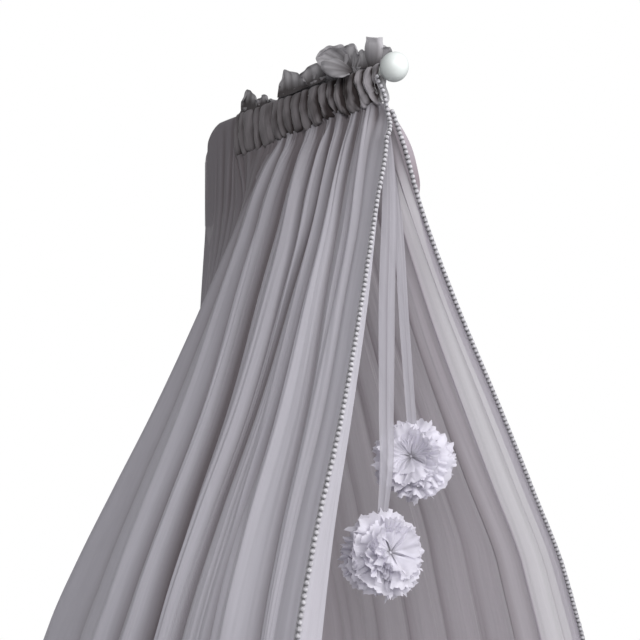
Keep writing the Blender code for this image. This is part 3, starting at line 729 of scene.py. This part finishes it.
def sleeve_creases(seed):
    """The sleeve's creases: where each starts at the top, how far it drifts forward on its way down,
    how far it bows to the rear, how deep it cuts, and how its depth changes down its length. Fine
    ones lie between the deep ones, and run together with them at one end."""
    luck = random.Random(seed)
    deep = []
    reach = HEADING_FRONT - 0.010
    while reach < HEADING_BACK + 0.070:
        front = math.exp(-(reach - HEADING_FRONT) / 0.16)
        drift = 0.016 + 0.015 * front + luck.uniform(-0.006, 0.006)
        bow = luck.uniform(0.002, 0.008) + 0.007 * front
        cut = luck.uniform(0.45, 0.85) + 0.35 * front
        deep.append((reach, drift, bow, cut, luck.uniform(-0.9, 0.9)))
        reach += luck.uniform(0.020, 0.044) - 0.010 * front
    fine = []
    for first, second in zip(deep, deep[1:]):
        gap = second[0] - first[0]
        count = int(gap / 0.0052)
        squeeze = luck.choice((-0.55, 0.45, 0.75)) * gap
        for number in range(1, count):
            share = (number + luck.uniform(-0.25, 0.25)) / count
            middle = [first[n] + (second[n] - first[n]) * share for n in range(3)]
            middle[1] += squeeze * (share - 0.5)
            cut = luck.uniform(0.06, 0.24) + 0.16 * math.exp(-middle[0] / 0.12)
            fine.append((*middle, cut, luck.uniform(-1.0, 1.0)))
    return np.array(deep + fine)


def sew_sleeve(name, finish, seed):
    """The sleeve, from its bottom seam up its left side, over the top stitches and down the right."""
    columns = np.arange(2 * SLEEVE_COLUMNS + 1)
    sides = np.where(columns < SLEEVE_COLUMNS, -1.0, 1.0)
    down = np.abs(columns - SLEEVE_COLUMNS) / SLEEVE_COLUMNS
    reaches = np.linspace(HEADING_FRONT, HEADING_BACK, SLEEVE_ROWS + 1)
    puff = np.zeros((len(reaches), len(columns)))
    edge = np.zeros_like(puff)
    for column in columns:
        creases = sleeve_creases(seed if sides[column] < 0.0 else seed + 1)
        share = down[column]
        lines = creases[:, 0] - creases[:, 1] * share**1.6 + creases[:, 2] * math.sin(math.pi * share)
        lines = lines + 0.0016 * np.sin(9.0 * share + 17.0 * creases[:, 4])
        order = np.argsort(lines)
        lines, creases = lines[order], creases[order]
        deepness, change = creases[:, 3], creases[:, 4]
        cuts = 0.75 + change * (share - 0.5) + 0.9 * max(share - 0.6, 0.0)
        cuts = deepness * np.clip(cuts, 0.05, 1.3)
        index = np.clip(np.searchsorted(lines, reaches) - 1, 0, len(lines) - 2)
        past = np.maximum(reaches - lines[index], 0.0)
        left = np.maximum(lines[index + 1] - reaches, 0.0)
        before = cuts[index] * np.exp(-((past / (0.0010 + 0.0036 * deepness[index])) ** 1.2))
        after = cuts[index + 1] * np.exp(-((left / (0.0010 + 0.0030 * deepness[index + 1])) ** 1.1))
        notch = before + after
        nearest = np.abs(reaches[:, None] - lines[deepness > 0.44][None, :]).min(axis=1)
        ridge = np.clip(nearest / 0.011, 0.0, 1.1) ** 0.7
        streak = np.sin(past / 0.00062 + 9.0 * change[index])
        streak = streak * np.sin(left / 0.0011 + 4.0 * deepness[index])
        crumple = np.sin(95.0 * reaches + 2.4 * share + 1.0)
        crumple = crumple * np.sin(43.0 * reaches - 6.5 * share + sides[column])
        finer = np.sin(151.0 * reaches - 7.5 * share) * np.sin(11.0 * share + 60.0 * reaches)
        crumple = crumple + 0.6 * finer
        puff[:, column] = 0.30 + 0.75 * ridge - 0.8 * notch + 0.05 * streak - 0.26 * crumple
        # edge is painted shade in the notches and creases, with streaks and crumples.
        edge[:, column] = 1.1 * notch + 0.25 * (1.0 - ridge) + 0.16 * streak + 0.34 * crumple
    sleeve_density_and_shade, crease_shade_strength = [shade[:, None] for shade in smooth_columns(SLEEVE_SHADE, (1, 2), reaches)]
    down, reach = down[None, :], reaches[:, None]
    half = smooth_column(SLEEVE_OUTLINE, 1, down)
    fall = smooth_column(SLEEVE_OUTLINE, 2, down)
    loose = np.sin(math.pi * np.clip(down * 0.96 + 0.02, 0.0, 1.0)) ** 0.7
    wander = 0.0016 * np.sin(reach * 78.0 + 0.6) + 0.0014 * np.sin(reach * 171.0 + 1.0)
    closed = np.clip((1.0 - down) / 0.05, 0.0, 1.0)
    lumps = 0.84 + 0.07 * np.sin(reach * 88.0 + 2.0) + 0.05 * np.sin(reach * 147.0)
    calm = 1.0 - 0.45 * ease((reach - 0.18) / 0.20)
    half = half * lumps + 0.0105 * calm * loose * (puff - 0.40) * closed
    back_end = np.clip((HEADING_BACK - reach) / 0.030, 0.0, 1.0)
    flare = 0.0045 * np.clip(1.0 - (reach - HEADING_FRONT) / 0.020, 0.0, 1.0) * loose
    half = (np.maximum(half, 0.0003) + flare) * (0.70 + 0.30 * back_end**0.5)
    low = ease((down - 0.45) / 0.4)
    drop = -SLEEVE_TOP + (sleeve_bottom(reach) + SLEEVE_TOP) * fall
    drop = drop + (0.0085 * (puff - 0.30) + wander) * low - 0.0030 * puff * ease((0.3 - down) / 0.3)
    # Painted shade: darker in the creases, at the sleeve's bottom seam, and along the sleeve by its
    # table. The puffs are painted paler, and inside the open front end the far side is painted pale and
    # sheer, as lit.
    fold_layers_and_shade = crease_shade_strength * (edge + 0.18 * (1.0 - puff)) + 0.35 * ease((down - 0.80) / 0.16)
    gathers_and_painted_shading = sleeve_density_and_shade - crease_shade_strength * 0.24 * np.clip(puff, 0.0, 1.2)
    painted_light_open_end = ease((0.058 - reach) / 0.012) * (sides > 0.0) * ease((down - 0.30) / 0.1)
    fold_layers_and_shade, gathers_and_painted_shading = fold_layers_and_shade * (1.0 - painted_light_open_end), gathers_and_painted_shading * (1.0 - painted_light_open_end) - 0.9 * painted_light_open_end
    weave = (reach * FULLNESS, drop + 1.0)
    return hang_grid(name, (sides * half, reach, drop), weave, fold_layers_and_shade, gathers_and_painted_shading, finish)


# A much darker copy of the voile for the heading: partly its doubled, gathered cloth, partly painted
# shade.
gathered_voile = voile("gathered_voile", (0.33, 0.308, 0.325), (0.036, 0.028, 0.028), 0.98, 0.18)
sleeve = sew_sleeve("heading_sleeve", gathered_voile, 5)
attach(sleeve, "root")
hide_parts("heading")


# Frill. The doubled edge that stands above the sleeve's top stitches: released from the gathers, it
# opens into loops, rolls and petals, and a wide one flops over to the left.
FRILL_NEAR = thousandths((  # reach at the base and at the edge, the edge's x and height, the rise
    (32.5, 22, 6, 24, 19), (50, 56, -7, 27, 22), (70, 74, 4, 26, 20), (90, 98, -7.5, 24, 20),
    (115, 118, -6, 29, 22), (140, 150, -8, 26, 22), (165, 170, 4, 29, 22), (190, 200, -8, 30, 23),
    (215, 225, -4, 29, 22), (240, 246, -8, 27, 20), (265, 276, 2, 26, 20), (290, 296, -8, 26, 20),
    (315, 326, 2, 27, 20), (340, 346, -7.5, 23, 17), (365, 376, 2, 19, 14), (390, 396, -7, 19, 14),
    (415, 426, 2, 22, 16), (440, 446, -7, 20, 16), (470, 480, 2, 24, 19), (495, 498, -10, 23, 17),
    (530, 528, 0, 14, 12),
))
FRILL_FAR = thousandths((
    (32.5, 20, 10, 40, 25), (40, 38, 15, 59, 34), (48, 50, 4, 62, 36), (56, 62, 15, 59, 34),
    (64, 70, 2, 46, 29), (76, 82, 12, 32, 24), (90, 98, 4, 43, 27), (104, 112, 8, 62, 37),
    (118, 124, 6, 70, 41), (132, 136, 16, 66, 39), (146, 150, 4, 68, 41), (160, 166, 18, 64, 39),
    (174, 184, 6, 67, 39), (190, 200, 18, 59, 36), (206, 218, 4, 56, 34), (224, 236, 14, 48, 31),
    (242, 254, 3, 51, 31), (260, 270, 15, 42, 27), (280, 288, 4, 42, 27), (300, 308, 14, 50, 31),
    (320, 332, 4, 54, 32), (340, 350, 13, 40, 27), (360, 368, 4, 26, 19), (380, 388, 11, 22, 16),
    (400, 406, 3, 29, 19), (420, 426, 11, 26, 19), (440, 448, 3, 37, 22), (460, 466, 12, 43, 25),
    (480, 488, 3, 45, 25), (500, 504, 9, 29, 19), (530, 528, 2, 22, 16),
))
PETALS = (  # name, flat size; then x, reach and height in millimetres of its base, middle and rim
    ("front_roll", (0.14, 0.052), (
        (
            (-6, 67, 19), (-8, 57, 15), (-7, 48, 14), (-3, 43, 15), (2, 47, 17), (4, 56, 21),
            (4, 67, 23), (0, 71, 23),
        ),
        (
            (-15, 71, 50), (-18, 52, 43), (-14, 35, 40), (-4, 29, 42), (5, 37, 47), (10, 58, 56),
            (8, 73, 60), (-3, 79, 57),
        ),
        (
            (-10, 66, 75), (-16, 50, 68), (-14, 38, 64), (-5, 34, 64), (4, 41, 71), (10, 57, 80),
            (8, 70, 84), (-1, 74, 81),
        ),
    )),
    ("front_tip", (0.038, 0.030), (
        ((-4, 47, 14), (0, 43, 16), (4, 43, 19), (8, 43, 21)),
        ((-4, 36, 34), (2, 30, 36), (8, 28, 34), (14, 34, 32)),
        ((-4, 27, 48), (4, 14, 48), (10, 10, 38), (16, 20, 34)),
    )),
    ("front_wedge", (0.05, 0.036), (
        ((0, 112, 26), (-4, 93, 23), (-6, 78, 20), (-6, 66, 18)),
        ((6, 114, 42), (2, 98, 40), (-4, 82, 38), (-10, 66, 33)),
        ((8, 111, 55), (4, 98, 59), (-4, 82, 58), (-12, 67, 49)),
    )),
    ("flop_back", (0.13, 0.062), (
        ((-6, 175, 24), (-3, 160, 24), (0, 147, 24), (0, 133, 23), (0, 120, 24), (-2, 110, 27)),
        ((-6, 198, 57), (2, 185, 67), (10, 168, 69), (12, 143, 66), (8, 119, 58), (-2, 102, 44)),
        ((-20, 213, 74), (-6, 193, 91), (4, 162, 90), (10, 133, 90), (8, 114, 78), (-4, 97, 52)),
    )),
    ("flop_upper", (0.125, 0.058), (
        (
            (-4, 118, 33), (-5, 116, 31), (-6, 115, 29), (-7, 114, 27), (-8, 113, 25),
            (-9, 113, 24), (-10, 113, 23),
        ),
        (
            (6, 139, 63), (8, 157, 69), (6, 170, 68), (2, 176, 64), (-4, 174, 57), (-10, 159, 46),
            (-14, 139, 35),
        ),
        (
            (-2, 152, 84), (-6, 172, 87), (-12, 191, 87), (-18, 208, 83), (-26, 211, 70),
            (-30, 195, 54), (-28, 170, 40),
        ),
    )),
    ("flop_lower", (0.118, 0.050), (
        (
            (-11, 113, 23), (-12, 111, 21), (-13, 111, 19), (-14, 110, 17), (-15, 111, 16),
            (-15, 114, 15),
        ),
        (
            (-20, 128, 39), (-28, 141, 38), (-36, 143, 27), (-40, 130, 12), (-38, 110, 1),
            (-28, 103, 6),
        ),
        (
            (-16, 162, 58), (-30, 184, 58), (-38, 188, 44), (-42, 160, 11), (-41, 116, -5),
            (-31, 98, 3),
        ),
    )),
    ("dark_fold", (0.1, 0.05), (
        ((-10, 280, 23), (-10, 251, 22), (-10, 217, 22), (-8, 196, 24)),
        ((0, 294, 47), (6, 271, 52), (6, 234, 53), (0, 209, 50)),
        ((-6, 291, 60), (4, 273, 72), (4, 242, 74), (-6, 208, 67)),
    )),
    ("pointed_flap", (0.14, 0.052), (
        ((-8, 367, 23), (-10, 336, 20), (-12, 303, 18), (-12, 273, 21), (-12, 248, 20)),
        ((-12, 359, 36), (-4, 347, 51), (-2, 319, 46), (-10, 280, 36), (-20, 247, 22)),
        ((-16, 351, 43), (-4, 349, 80), (2, 325, 73), (-8, 282, 55), (-26, 243, 26)),
    )),
    ("low_point", (0.07, 0.024), (
        ((-6, 449, 13), (-8, 427, 13), (-8, 408, 16), (-8, 392, 19)),
        ((-10, 443, 23), (-2, 434, 28), (-2, 414, 29), (-12, 391, 19)),
        ((-12, 439, 34), (0, 434, 40), (-2, 414, 40), (-14, 393, 20)),
    )),
    ("back_point", (0.1, 0.046), (
        ((-6, 513, 15), (-8, 496, 12), (-10, 476, 11), (-10, 459, 11), (-8, 444, 12)),
        ((-10, 507, 31), (-2, 505, 48), (2, 491, 49), (-2, 466, 37), (-12, 439, 20)),
        ((-14, 498, 42), (-4, 493, 72), (4, 485, 69), (0, 458, 48), (-14, 433, 27)),
    )),
)
PETAL_COLUMNS = 72
PETAL_ROWS = 26
FRILL_COLUMNS = 560
FRILL_ROWS = 26
STITCH_PITCH = 0.0062
PLEAT_WIDTH = 0.011


def gather_frill(name, table, finish, seed):
    """One layer of the frill: each thread leaves the stitches upright, rises and bends to its edge."""
    luck = random.Random(seed)
    base = np.linspace(HEADING_FRONT, HEADING_BACK, FRILL_COLUMNS + 1)[None, :]
    up = np.linspace(0.0, 1.0, FRILL_ROWS + 1)[:, None]
    edge_reach, edge_x, edge_height, rise = smooth_columns(table, range(1, 5), base)
    start, between, end = (1 - up) ** 2, 2 * up * (1 - up), up**2
    reach = start * base + between * (base + 0.35 * (edge_reach - base)) + end * edge_reach
    x = between * 0.25 * edge_x + end * edge_x
    turn_over = np.clip((rise - 0.5 * edge_height) / 0.040, 0.0, 1.0)
    height = start * (SLEEVE_TOP - 0.0010) + end * edge_height
    height = height + between * rise * (0.75 + 0.75 * turn_over)
    loose = up**0.7
    for cycles, size in ((31.0, 0.0018), (53.0, 0.0011), (83.0, 0.0005)):
        phase = luck.uniform(0.0, math.tau)
        wave = np.sin(math.tau * cycles * base + phase + 2.0 * up)
        x = x + size * wave * (0.35 + loose)
        reach = reach + 0.6 * size * np.cos(math.tau * cycles * base + phase + 2.6 * up) * loose
    stitches = math.tau * base / STITCH_PITCH
    x = x + 0.0016 * np.sin(stitches + luck.uniform(0.0, math.tau)) * (1.0 - up) ** 1.5
    # Painted shade: darker at the base by the stitches, and towards the wall.
    fold_layers_and_shade = 0.65 * (1.0 - up) ** 3 + 0.25 * np.sin(stitches * 0.73 + 1.0) * (1.0 - up) ** 2
    gathers_and_painted_shading = 0.35 + 0.45 * ((base - HEADING_FRONT) / HEADING_LENGTH) ** 0.8
    return hang_grid(name, (x, reach, -height), (base * FULLNESS, up * 0.09 + 1.0), fold_layers_and_shade, gathers_and_painted_shading, finish)


def spread_petal(name, rows, finish, seed):
    """One loop of the frill that stands out of the gathers: a pleated patch through its three rows."""
    luck = random.Random(seed)
    across = np.linspace(0.0, 1.0, PETAL_COLUMNS + 1)[None, :]
    up = np.linspace(0.0, 1.0, PETAL_ROWS + 1)[:, None]
    lines = []
    for row in rows:
        table = [(number / (len(row) - 1), *thousandths(point)) for number, point in enumerate(row)]
        lines.append(np.stack(smooth_columns(table, (1, 2, 3), across), axis=-1))
    base, middle, rim = lines
    base[..., 2] -= 0.0035
    rise = up[..., None]
    patch = (1 - rise) * (1 - 2 * rise) * base + 4 * rise * (1 - rise) * middle
    patch = patch + rise * (2 * rise - 1) * rim
    facing = np.cross(np.gradient(patch, axis=1), np.gradient(patch, axis=0))
    facing /= np.linalg.norm(facing, axis=2, keepdims=True) + 1e-9
    width = np.linalg.norm(np.diff(rim[0], axis=0), axis=1).sum()
    pleats = math.pi * width / PLEAT_WIDTH * across
    bend = 0.35 * np.sin(math.tau * across + luck.uniform(0.0, math.tau)) * up
    wave = np.abs(np.sin(pleats + bend + luck.uniform(0.0, 3.0))) * 2.0 - 1.2
    flutter = np.sin(0.6 * pleats + luck.uniform(0.0, 3.0)) * up**3
    turns = math.tau * (1.0 + width / 0.045) * across
    swell = np.sin(turns + luck.uniform(0.0, 6.0) + 1.2 * up)
    out = 0.0002 * wave * (1.0 - 0.45 * up) + 0.0004 * flutter
    out = out + min(0.0018, 0.014 * width) * swell * up**1.5 + 0.14 * np.clip(up - 0.80, 0.0, 1.0) ** 2
    x, reach, height = np.moveaxis(patch + facing * out[..., None], -1, 0)
    # Painted shade: darker towards the base and towards the wall, and lighter or darker with its
    # swells.
    fold_layers_and_shade = 0.95 * (1.0 - up) ** 1.6 - 0.02 * wave - 0.22 * swell * up
    gathers_and_painted_shading = np.clip(0.10 + 0.55 * (reach - HEADING_FRONT) / HEADING_LENGTH, 0.0, 1.0)
    return hang_grid(name, (x, reach, -height), (across * width, up * 0.06), fold_layers_and_shade, gathers_and_painted_shading, finish)


# A darker copy of the voile for the frill: painted shade under and between its loops.
shaded_frill_voile = voile("shaded_frill_voile", (0.50, 0.485, 0.51), (0.075, 0.066, 0.068), 0.94, 0.28)
for name, table, flat, seed in (
    ("heading_frill_near", FRILL_NEAR, (0.62, 0.016), 3),
    ("heading_frill_far", FRILL_FAR, (0.62, 0.045), 8),
):
    layer = gather_frill(name, table, shaded_frill_voile, seed)
    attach(layer, "root")
for number, (name, flat, rows) in enumerate(PETALS):
    petal = spread_petal("frill_" + name, rows, shaded_frill_voile, 60 + number)
    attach(petal, "root")


# Bobble trim. A narrow woven tape, sewn along each front edge, with a row of soft yarn bobbles that
# almost touch.
BOBBLE_PITCH = 0.0104
BOBBLE_RADIUS = 0.0048
TAPE_WIDTH = 0.0050
NEAR_TRIM_TOP = thousandths((  # drop, x, reach in millimetres, from beside the ball to the seam
    (18, 21.5, 28), (30, 18.5, 25.5), (54, 9, 19), (88, 6, 13.5), (106, 5, 9), (125, 11, 1.2),
    (138, 19, -3.4), (150, 26.4, -2.9),
))
FAR_TRIM_TOP = thousandths(((85, 15.8, 18.9), (150, 21, -4.2)))


def trim_path(side, top, offset):
    """Evenly spaced points down a front edge, one for each bobble."""
    drops = np.linspace(top[0][0], HEM_DROP - BOBBLE_RADIUS, 2400)
    below = drops > top[-1][0]
    on_edge, on_top = [smooth_columns(table, (1, 2), drops) for table in (FAR_EDGE, top)]
    xs, reaches = [np.where(below, on_edge[n] + offset[n], on_top[n]) for n in (0, 1)]
    steps = np.sqrt(np.diff(xs) ** 2 + np.diff(reaches) ** 2 + np.diff(drops) ** 2)
    gone = np.insert(np.cumsum(steps), 0, 0.0)
    marks = np.arange(0.0, gone[-1], BOBBLE_PITCH)
    spots = [np.interp(marks, gone, values) for values in (side * xs, reaches, drops)]
    return [place(*point) for point in zip(*spots)]


def sew_trim(name, side, top, offset, finish, seed):
    """The trim: its bobbles, and behind them the tape in two strips. A mark paints shade into the gaps
    between the bobbles and onto the tape.
    """
    luck = random.Random(seed)
    points = trim_path(side, top, offset)
    shape = bmesh.new()
    painted_gap_shade = shape.verts.layers.float.new("painted_gap_shade")
    ends = []
    for number, point in enumerate(points):
        along = (points[min(number + 1, len(points) - 1)] - points[max(number - 1, 0)]).normalized()
        turn = along.to_track_quat("Z", "Y").to_matrix().to_4x4()
        size = luck.uniform(0.92, 1.08)
        stretch = Matrix.Diagonal((size, size * luck.uniform(0.92, 1.0), 1.06, 1.0))
        wobble = Vector((luck.uniform(-1, 1), luck.uniform(-1, 1), 0.0)) * 0.0005
        bobble = bmesh.ops.create_uvsphere(
            shape, u_segments=8, v_segments=8, radius=BOBBLE_RADIUS * (1.04 + 0.04 * side),
            matrix=Matrix.Translation(point + wobble) @ turn @ stretch,
        )
        for vert in bobble["verts"]:
            vert[painted_gap_shade] = (abs((vert.co - point - wobble).dot(along)) / BOBBLE_RADIUS) ** 2
        outward = Vector((side * 0.6, -0.8, 0.0))
        flat = (outward - along * outward.dot(along)).normalized() * TAPE_WIDTH
        across = flat.cross(along) * side
        behind = point + Vector((side * 0.8, 0.6, 0.0)) * 0.0030
        near = point + across.normalized() * 0.001
        ends.append((near + across, near, behind - flat * 0.85, behind + flat * 0.85))
    rows = [[shape.verts.new(spot) for spot in row] for row in ends]
    for vert in sum(rows, []):
        vert[painted_gap_shade] = 0.6
    for upper, lower in zip(rows, rows[1:]):
        for step in range(3):
            shape.faces.new((upper[step], upper[step + 1], lower[step + 1], lower[step]))
    return link_mesh(name, shape, finish)


yarn, tree, shader = new_material("bobble_yarn")
tint = add_node(tree, "ValToRGB", Fac=noise_on(tree, 240.0, 2.0))
dark_stop, light_stop = tint.color_ramp.elements
dark_stop.position, dark_stop.color = 0.30, (0.32, 0.31, 0.335, 1.0)
light_stop.position, light_stop.color = 0.62, (0.50, 0.49, 0.52, 1.0)
# Painted shade in the gaps between the bobbles and on the tape.
painted_gap_shade = cloth_mark(tree, "painted_gap_shade")
feed(
    tree, shader,
    Base_Color=mix_colours(tree, painted_gap_shade, tint.outputs["Color"], (0.10, 0.095, 0.105, 1.0)),
    Roughness=0.95, Sheen_Weight=0.3,
    Normal=bumps(tree, noise_on(tree, 1400.0, 3.0), 0.5, 0.0006),
)

for name, node_name, side, top, offset, seed in (
    ("bobble_trim_near", "trim_near", -1.0, NEAR_TRIM_TOP, (0.0044, -0.0049), 31),
    ("bobble_trim_far", "trim_far", 1.0, FAR_TRIM_TOP, (-0.0010, -0.0062), 37),
):
    trim = sew_trim(name, side, top, offset, yarn, seed)
    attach(trim, "root")
    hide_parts(node_name)


# Ribbons. Two long strips of the same voile, folded lengthwise and sewn into the heading's front, that
# carry the pompoms.
RIBBON_NEAR = (  # drop, x, reach, half width, turn in degrees
    (0.0673, -0.0052, 0.0335, 0.0045, 0.0),
    (0.1050, -0.0050, 0.0290, 0.0055, -8.0),
    (0.1500, -0.0015, 0.0180, 0.0085, -25.0),
    (0.2800, 0.0060, 0.0190, 0.0135, -38.0),
    (0.5000, -0.0020, 0.0200, 0.0155, -43.0),
    (0.7200, -0.0090, 0.0150, 0.0145, -42.0),
    (0.8200, -0.0130, 0.0100, 0.0130, -42.0),
    (0.9196, -0.0180, 0.0160, 0.0100, -35.0),
)
RIBBON_FAR = (
    (0.0673, 0.0052, 0.0335, 0.0045, 0.0),
    (0.1050, 0.0062, 0.0310, 0.0050, 0.0),
    (0.1500, 0.0115, 0.0265, 0.0065, -10.0),
    (0.2800, 0.0340, 0.0230, 0.0110, -30.0),
    (0.5000, 0.0520, 0.0200, 0.0120, -40.0),
    (0.7480, 0.0850, 0.0260, 0.0110, -35.0),
)
RIBBON_COLUMNS = 36
RIBBON_ROWS = 220


def hang_ribbon(name, table, finish, seed):
    luck = random.Random(seed)
    phase = [luck.uniform(0.0, math.tau) for _ in range(4)]
    side = np.linspace(-1.0, 1.0, RIBBON_COLUMNS + 1)[None, :]
    drop = np.linspace(table[0][0], table[-1][0], RIBBON_ROWS + 1)[:, None]
    middle, reach, half, turn = smooth_columns(table, range(1, 5), drop)
    turn = np.radians(turn)
    fold = 0.0020 * np.sin(5.2 * side + phase[0] + 0.8 * np.sin(4.0 * drop + phase[1]))
    fold = fold + 0.0011 * np.sin(11.0 * side + phase[2] + 2.0 * drop)
    across = side * half * (1.0 + 0.03 * np.sin(14.0 * drop + phase[3]) * side)
    x = middle + across * np.cos(turn) - fold * np.sin(turn)
    reach = reach + across * np.sin(turn) - fold * np.cos(turn)
    # Darker in its folds, as layered cloth and as painted shade, and darker towards its top.
    gathers_and_painted_shading = np.exp(-(drop - drop[0]) / 0.15)
    return hang_grid(name, (x, reach, drop), (side * 0.018, drop), fold / 0.004, gathers_and_painted_shading, finish)


ribbon_voile = voile("ribbon_voile", (0.48, 0.465, 0.51), (0.28, 0.265, 0.29), 0.76, 0.30)
for name, node_name, table, length, seed in (
    ("ribbon_long", "ribbon_near", RIBBON_NEAR, 0.86, 41),
    ("ribbon_short", "ribbon_far", RIBBON_FAR, 0.69, 43),
):
    ribbon = hang_ribbon(name, table, ribbon_voile, seed)
    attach(ribbon, "root")
    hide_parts(node_name)


# Pompoms. Bundles of pale voile strips, tied together and pulled apart layer by layer, so that each
# strip opens into a pleated fan. The fans make a ball round the knot, which lies in a dimple.
POMPOMS = (  # name, node, x, reach, drop, radius, where the knot faces, seed
    ("pompom_low", "pompom_lower", -0.021, 0.018, 1.008, 0.086, (-0.22, -0.90, 0.28), 51),
    ("pompom_high", "pompom_upper", 0.090, 0.026, 0.826, 0.084, (-0.76, -0.50, 0.36), 57),
)
KNOT_DEPTH = 0.036
KNOT_RADIUS = 0.0030
FAN_LAYERS = (  # degrees above the knot's own plane, fans
    (33, 4), (24, 5), (15, 6), (6, 8), (-4, 8), (-14, 9), (-25, 9), (-37, 9), (-50, 9), (-63, 8),
    (-76, 6),
)
FAN_COLUMNS = 22
FAN_ROWS = 10


def add_fan(shape, fold_layers_and_shade, middle, turn, radius, around, lift, luck):
    """One pleated fan: a strip of voile from the knot out to its cut end."""
    spread = math.radians(luck.uniform(38.0, 72.0)) * (1.0 + 0.5 * abs(math.sin(lift)))
    length = -KNOT_DEPTH * math.sin(lift) + math.sqrt(radius**2 - (KNOT_DEPTH * math.cos(lift)) ** 2)
    length *= luck.uniform(0.93, 1.03)
    length *= luck.choice((1.0, 1.0, 1.0, 0.93, 0.84, 0.72))
    pleats = luck.choice((1.0, 1.5, 2.0, 3.0, 4.0))
    fold = luck.uniform(0.040, 0.120)
    curl = luck.uniform(-0.16, 0.30)
    phase = luck.uniform(0.0, math.tau)
    tip = luck.uniform(0.02, 0.05)
    made = bmesh.ops.create_grid(shape, x_segments=FAN_COLUMNS, y_segments=FAN_ROWS, size=1.0)
    for vertex in made["verts"]:
        side = vertex.co.x
        out = (vertex.co.y + 1.0) / 2.0
        angle = around + side * spread * 0.5 * (0.35 + 0.65 * out)
        pleat = math.asin(0.97 * math.sin(math.pi * pleats * side + phase)) / 1.4
        rise = lift + pleat * fold * (0.35 + 0.75 * out) + curl * out**3 - 0.06 * side**2 * out
        ragged = math.sin(13.0 * side + 3.0 * phase) + 0.7 * math.sin(31.0 * side + phase)
        far = length * (0.035 + 0.965 * out) * (1.0 + tip * ragged * out**4)
        level = far * math.cos(rise)
        spot = Vector((math.cos(angle) * level, math.sin(angle) * level, far * math.sin(rise)))
        spot += noise.noise_vector(spot * 28.0 + Vector((phase * 9.0, 0.0, 0.0))) * 0.0075 * out
        spot += noise.noise_vector(spot * 90.0 + Vector((phase * 5.0, 0.0, 0.0))) * 0.0022 * out
        vertex.co = middle + turn @ spot
        # Painted shade near the knot and in the pleats' valleys.
        vertex[fold_layers_and_shade] = max(0.0, 1.0 - out * 4.0) * 0.8 + max(0.0, -pleat) * 0.22


def tie_pompom(name, x, reach, drop, radius, facing, finish, seed):
    luck = random.Random(seed)
    noise.seed_set(seed)
    shape = bmesh.new()
    weave = shape.loops.layers.uv.new("weave")
    fold_layers_and_shade = shape.verts.layers.float.new("fold_layers_and_shade")
    shape.verts.layers.float.new("gathers_and_painted_shading")
    facing = Vector(facing).normalized()
    turn = facing.to_track_quat("Z", "Y").to_matrix()
    middle = place(x, reach, drop) + facing * KNOT_DEPTH
    for lift, fans in FAN_LAYERS:
        start = luck.uniform(0.0, math.tau)
        for fan in range(fans):
            around = start + math.tau * (fan + luck.uniform(-0.3, 0.3)) / fans
            tilt = math.radians(lift + luck.uniform(-5.0, 5.0))
            add_fan(shape, fold_layers_and_shade, middle, turn, radius, around, tilt, luck)
    bmesh.ops.create_uvsphere(
        shape, u_segments=12, v_segments=8, radius=KNOT_RADIUS, matrix=Matrix.Translation(middle),
    )
    for face in shape.faces:
        for loop in face.loops:
            loop[weave].uv = (loop.vert.co.x + loop.vert.co.y, loop.vert.co.z + 4.0)
    return link_mesh(name, shape, finish)


pompom_voile = voile("pompom_voile", (0.76, 0.74, 0.81), (0.22, 0.205, 0.235), 0.90, 0.36)
for name, node_name, x, reach, drop, radius, facing, seed in POMPOMS:
    pompom = tie_pompom(name, x, reach, drop, radius, facing, pompom_voile, seed)
    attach(pompom, "root")
    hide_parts(node_name)
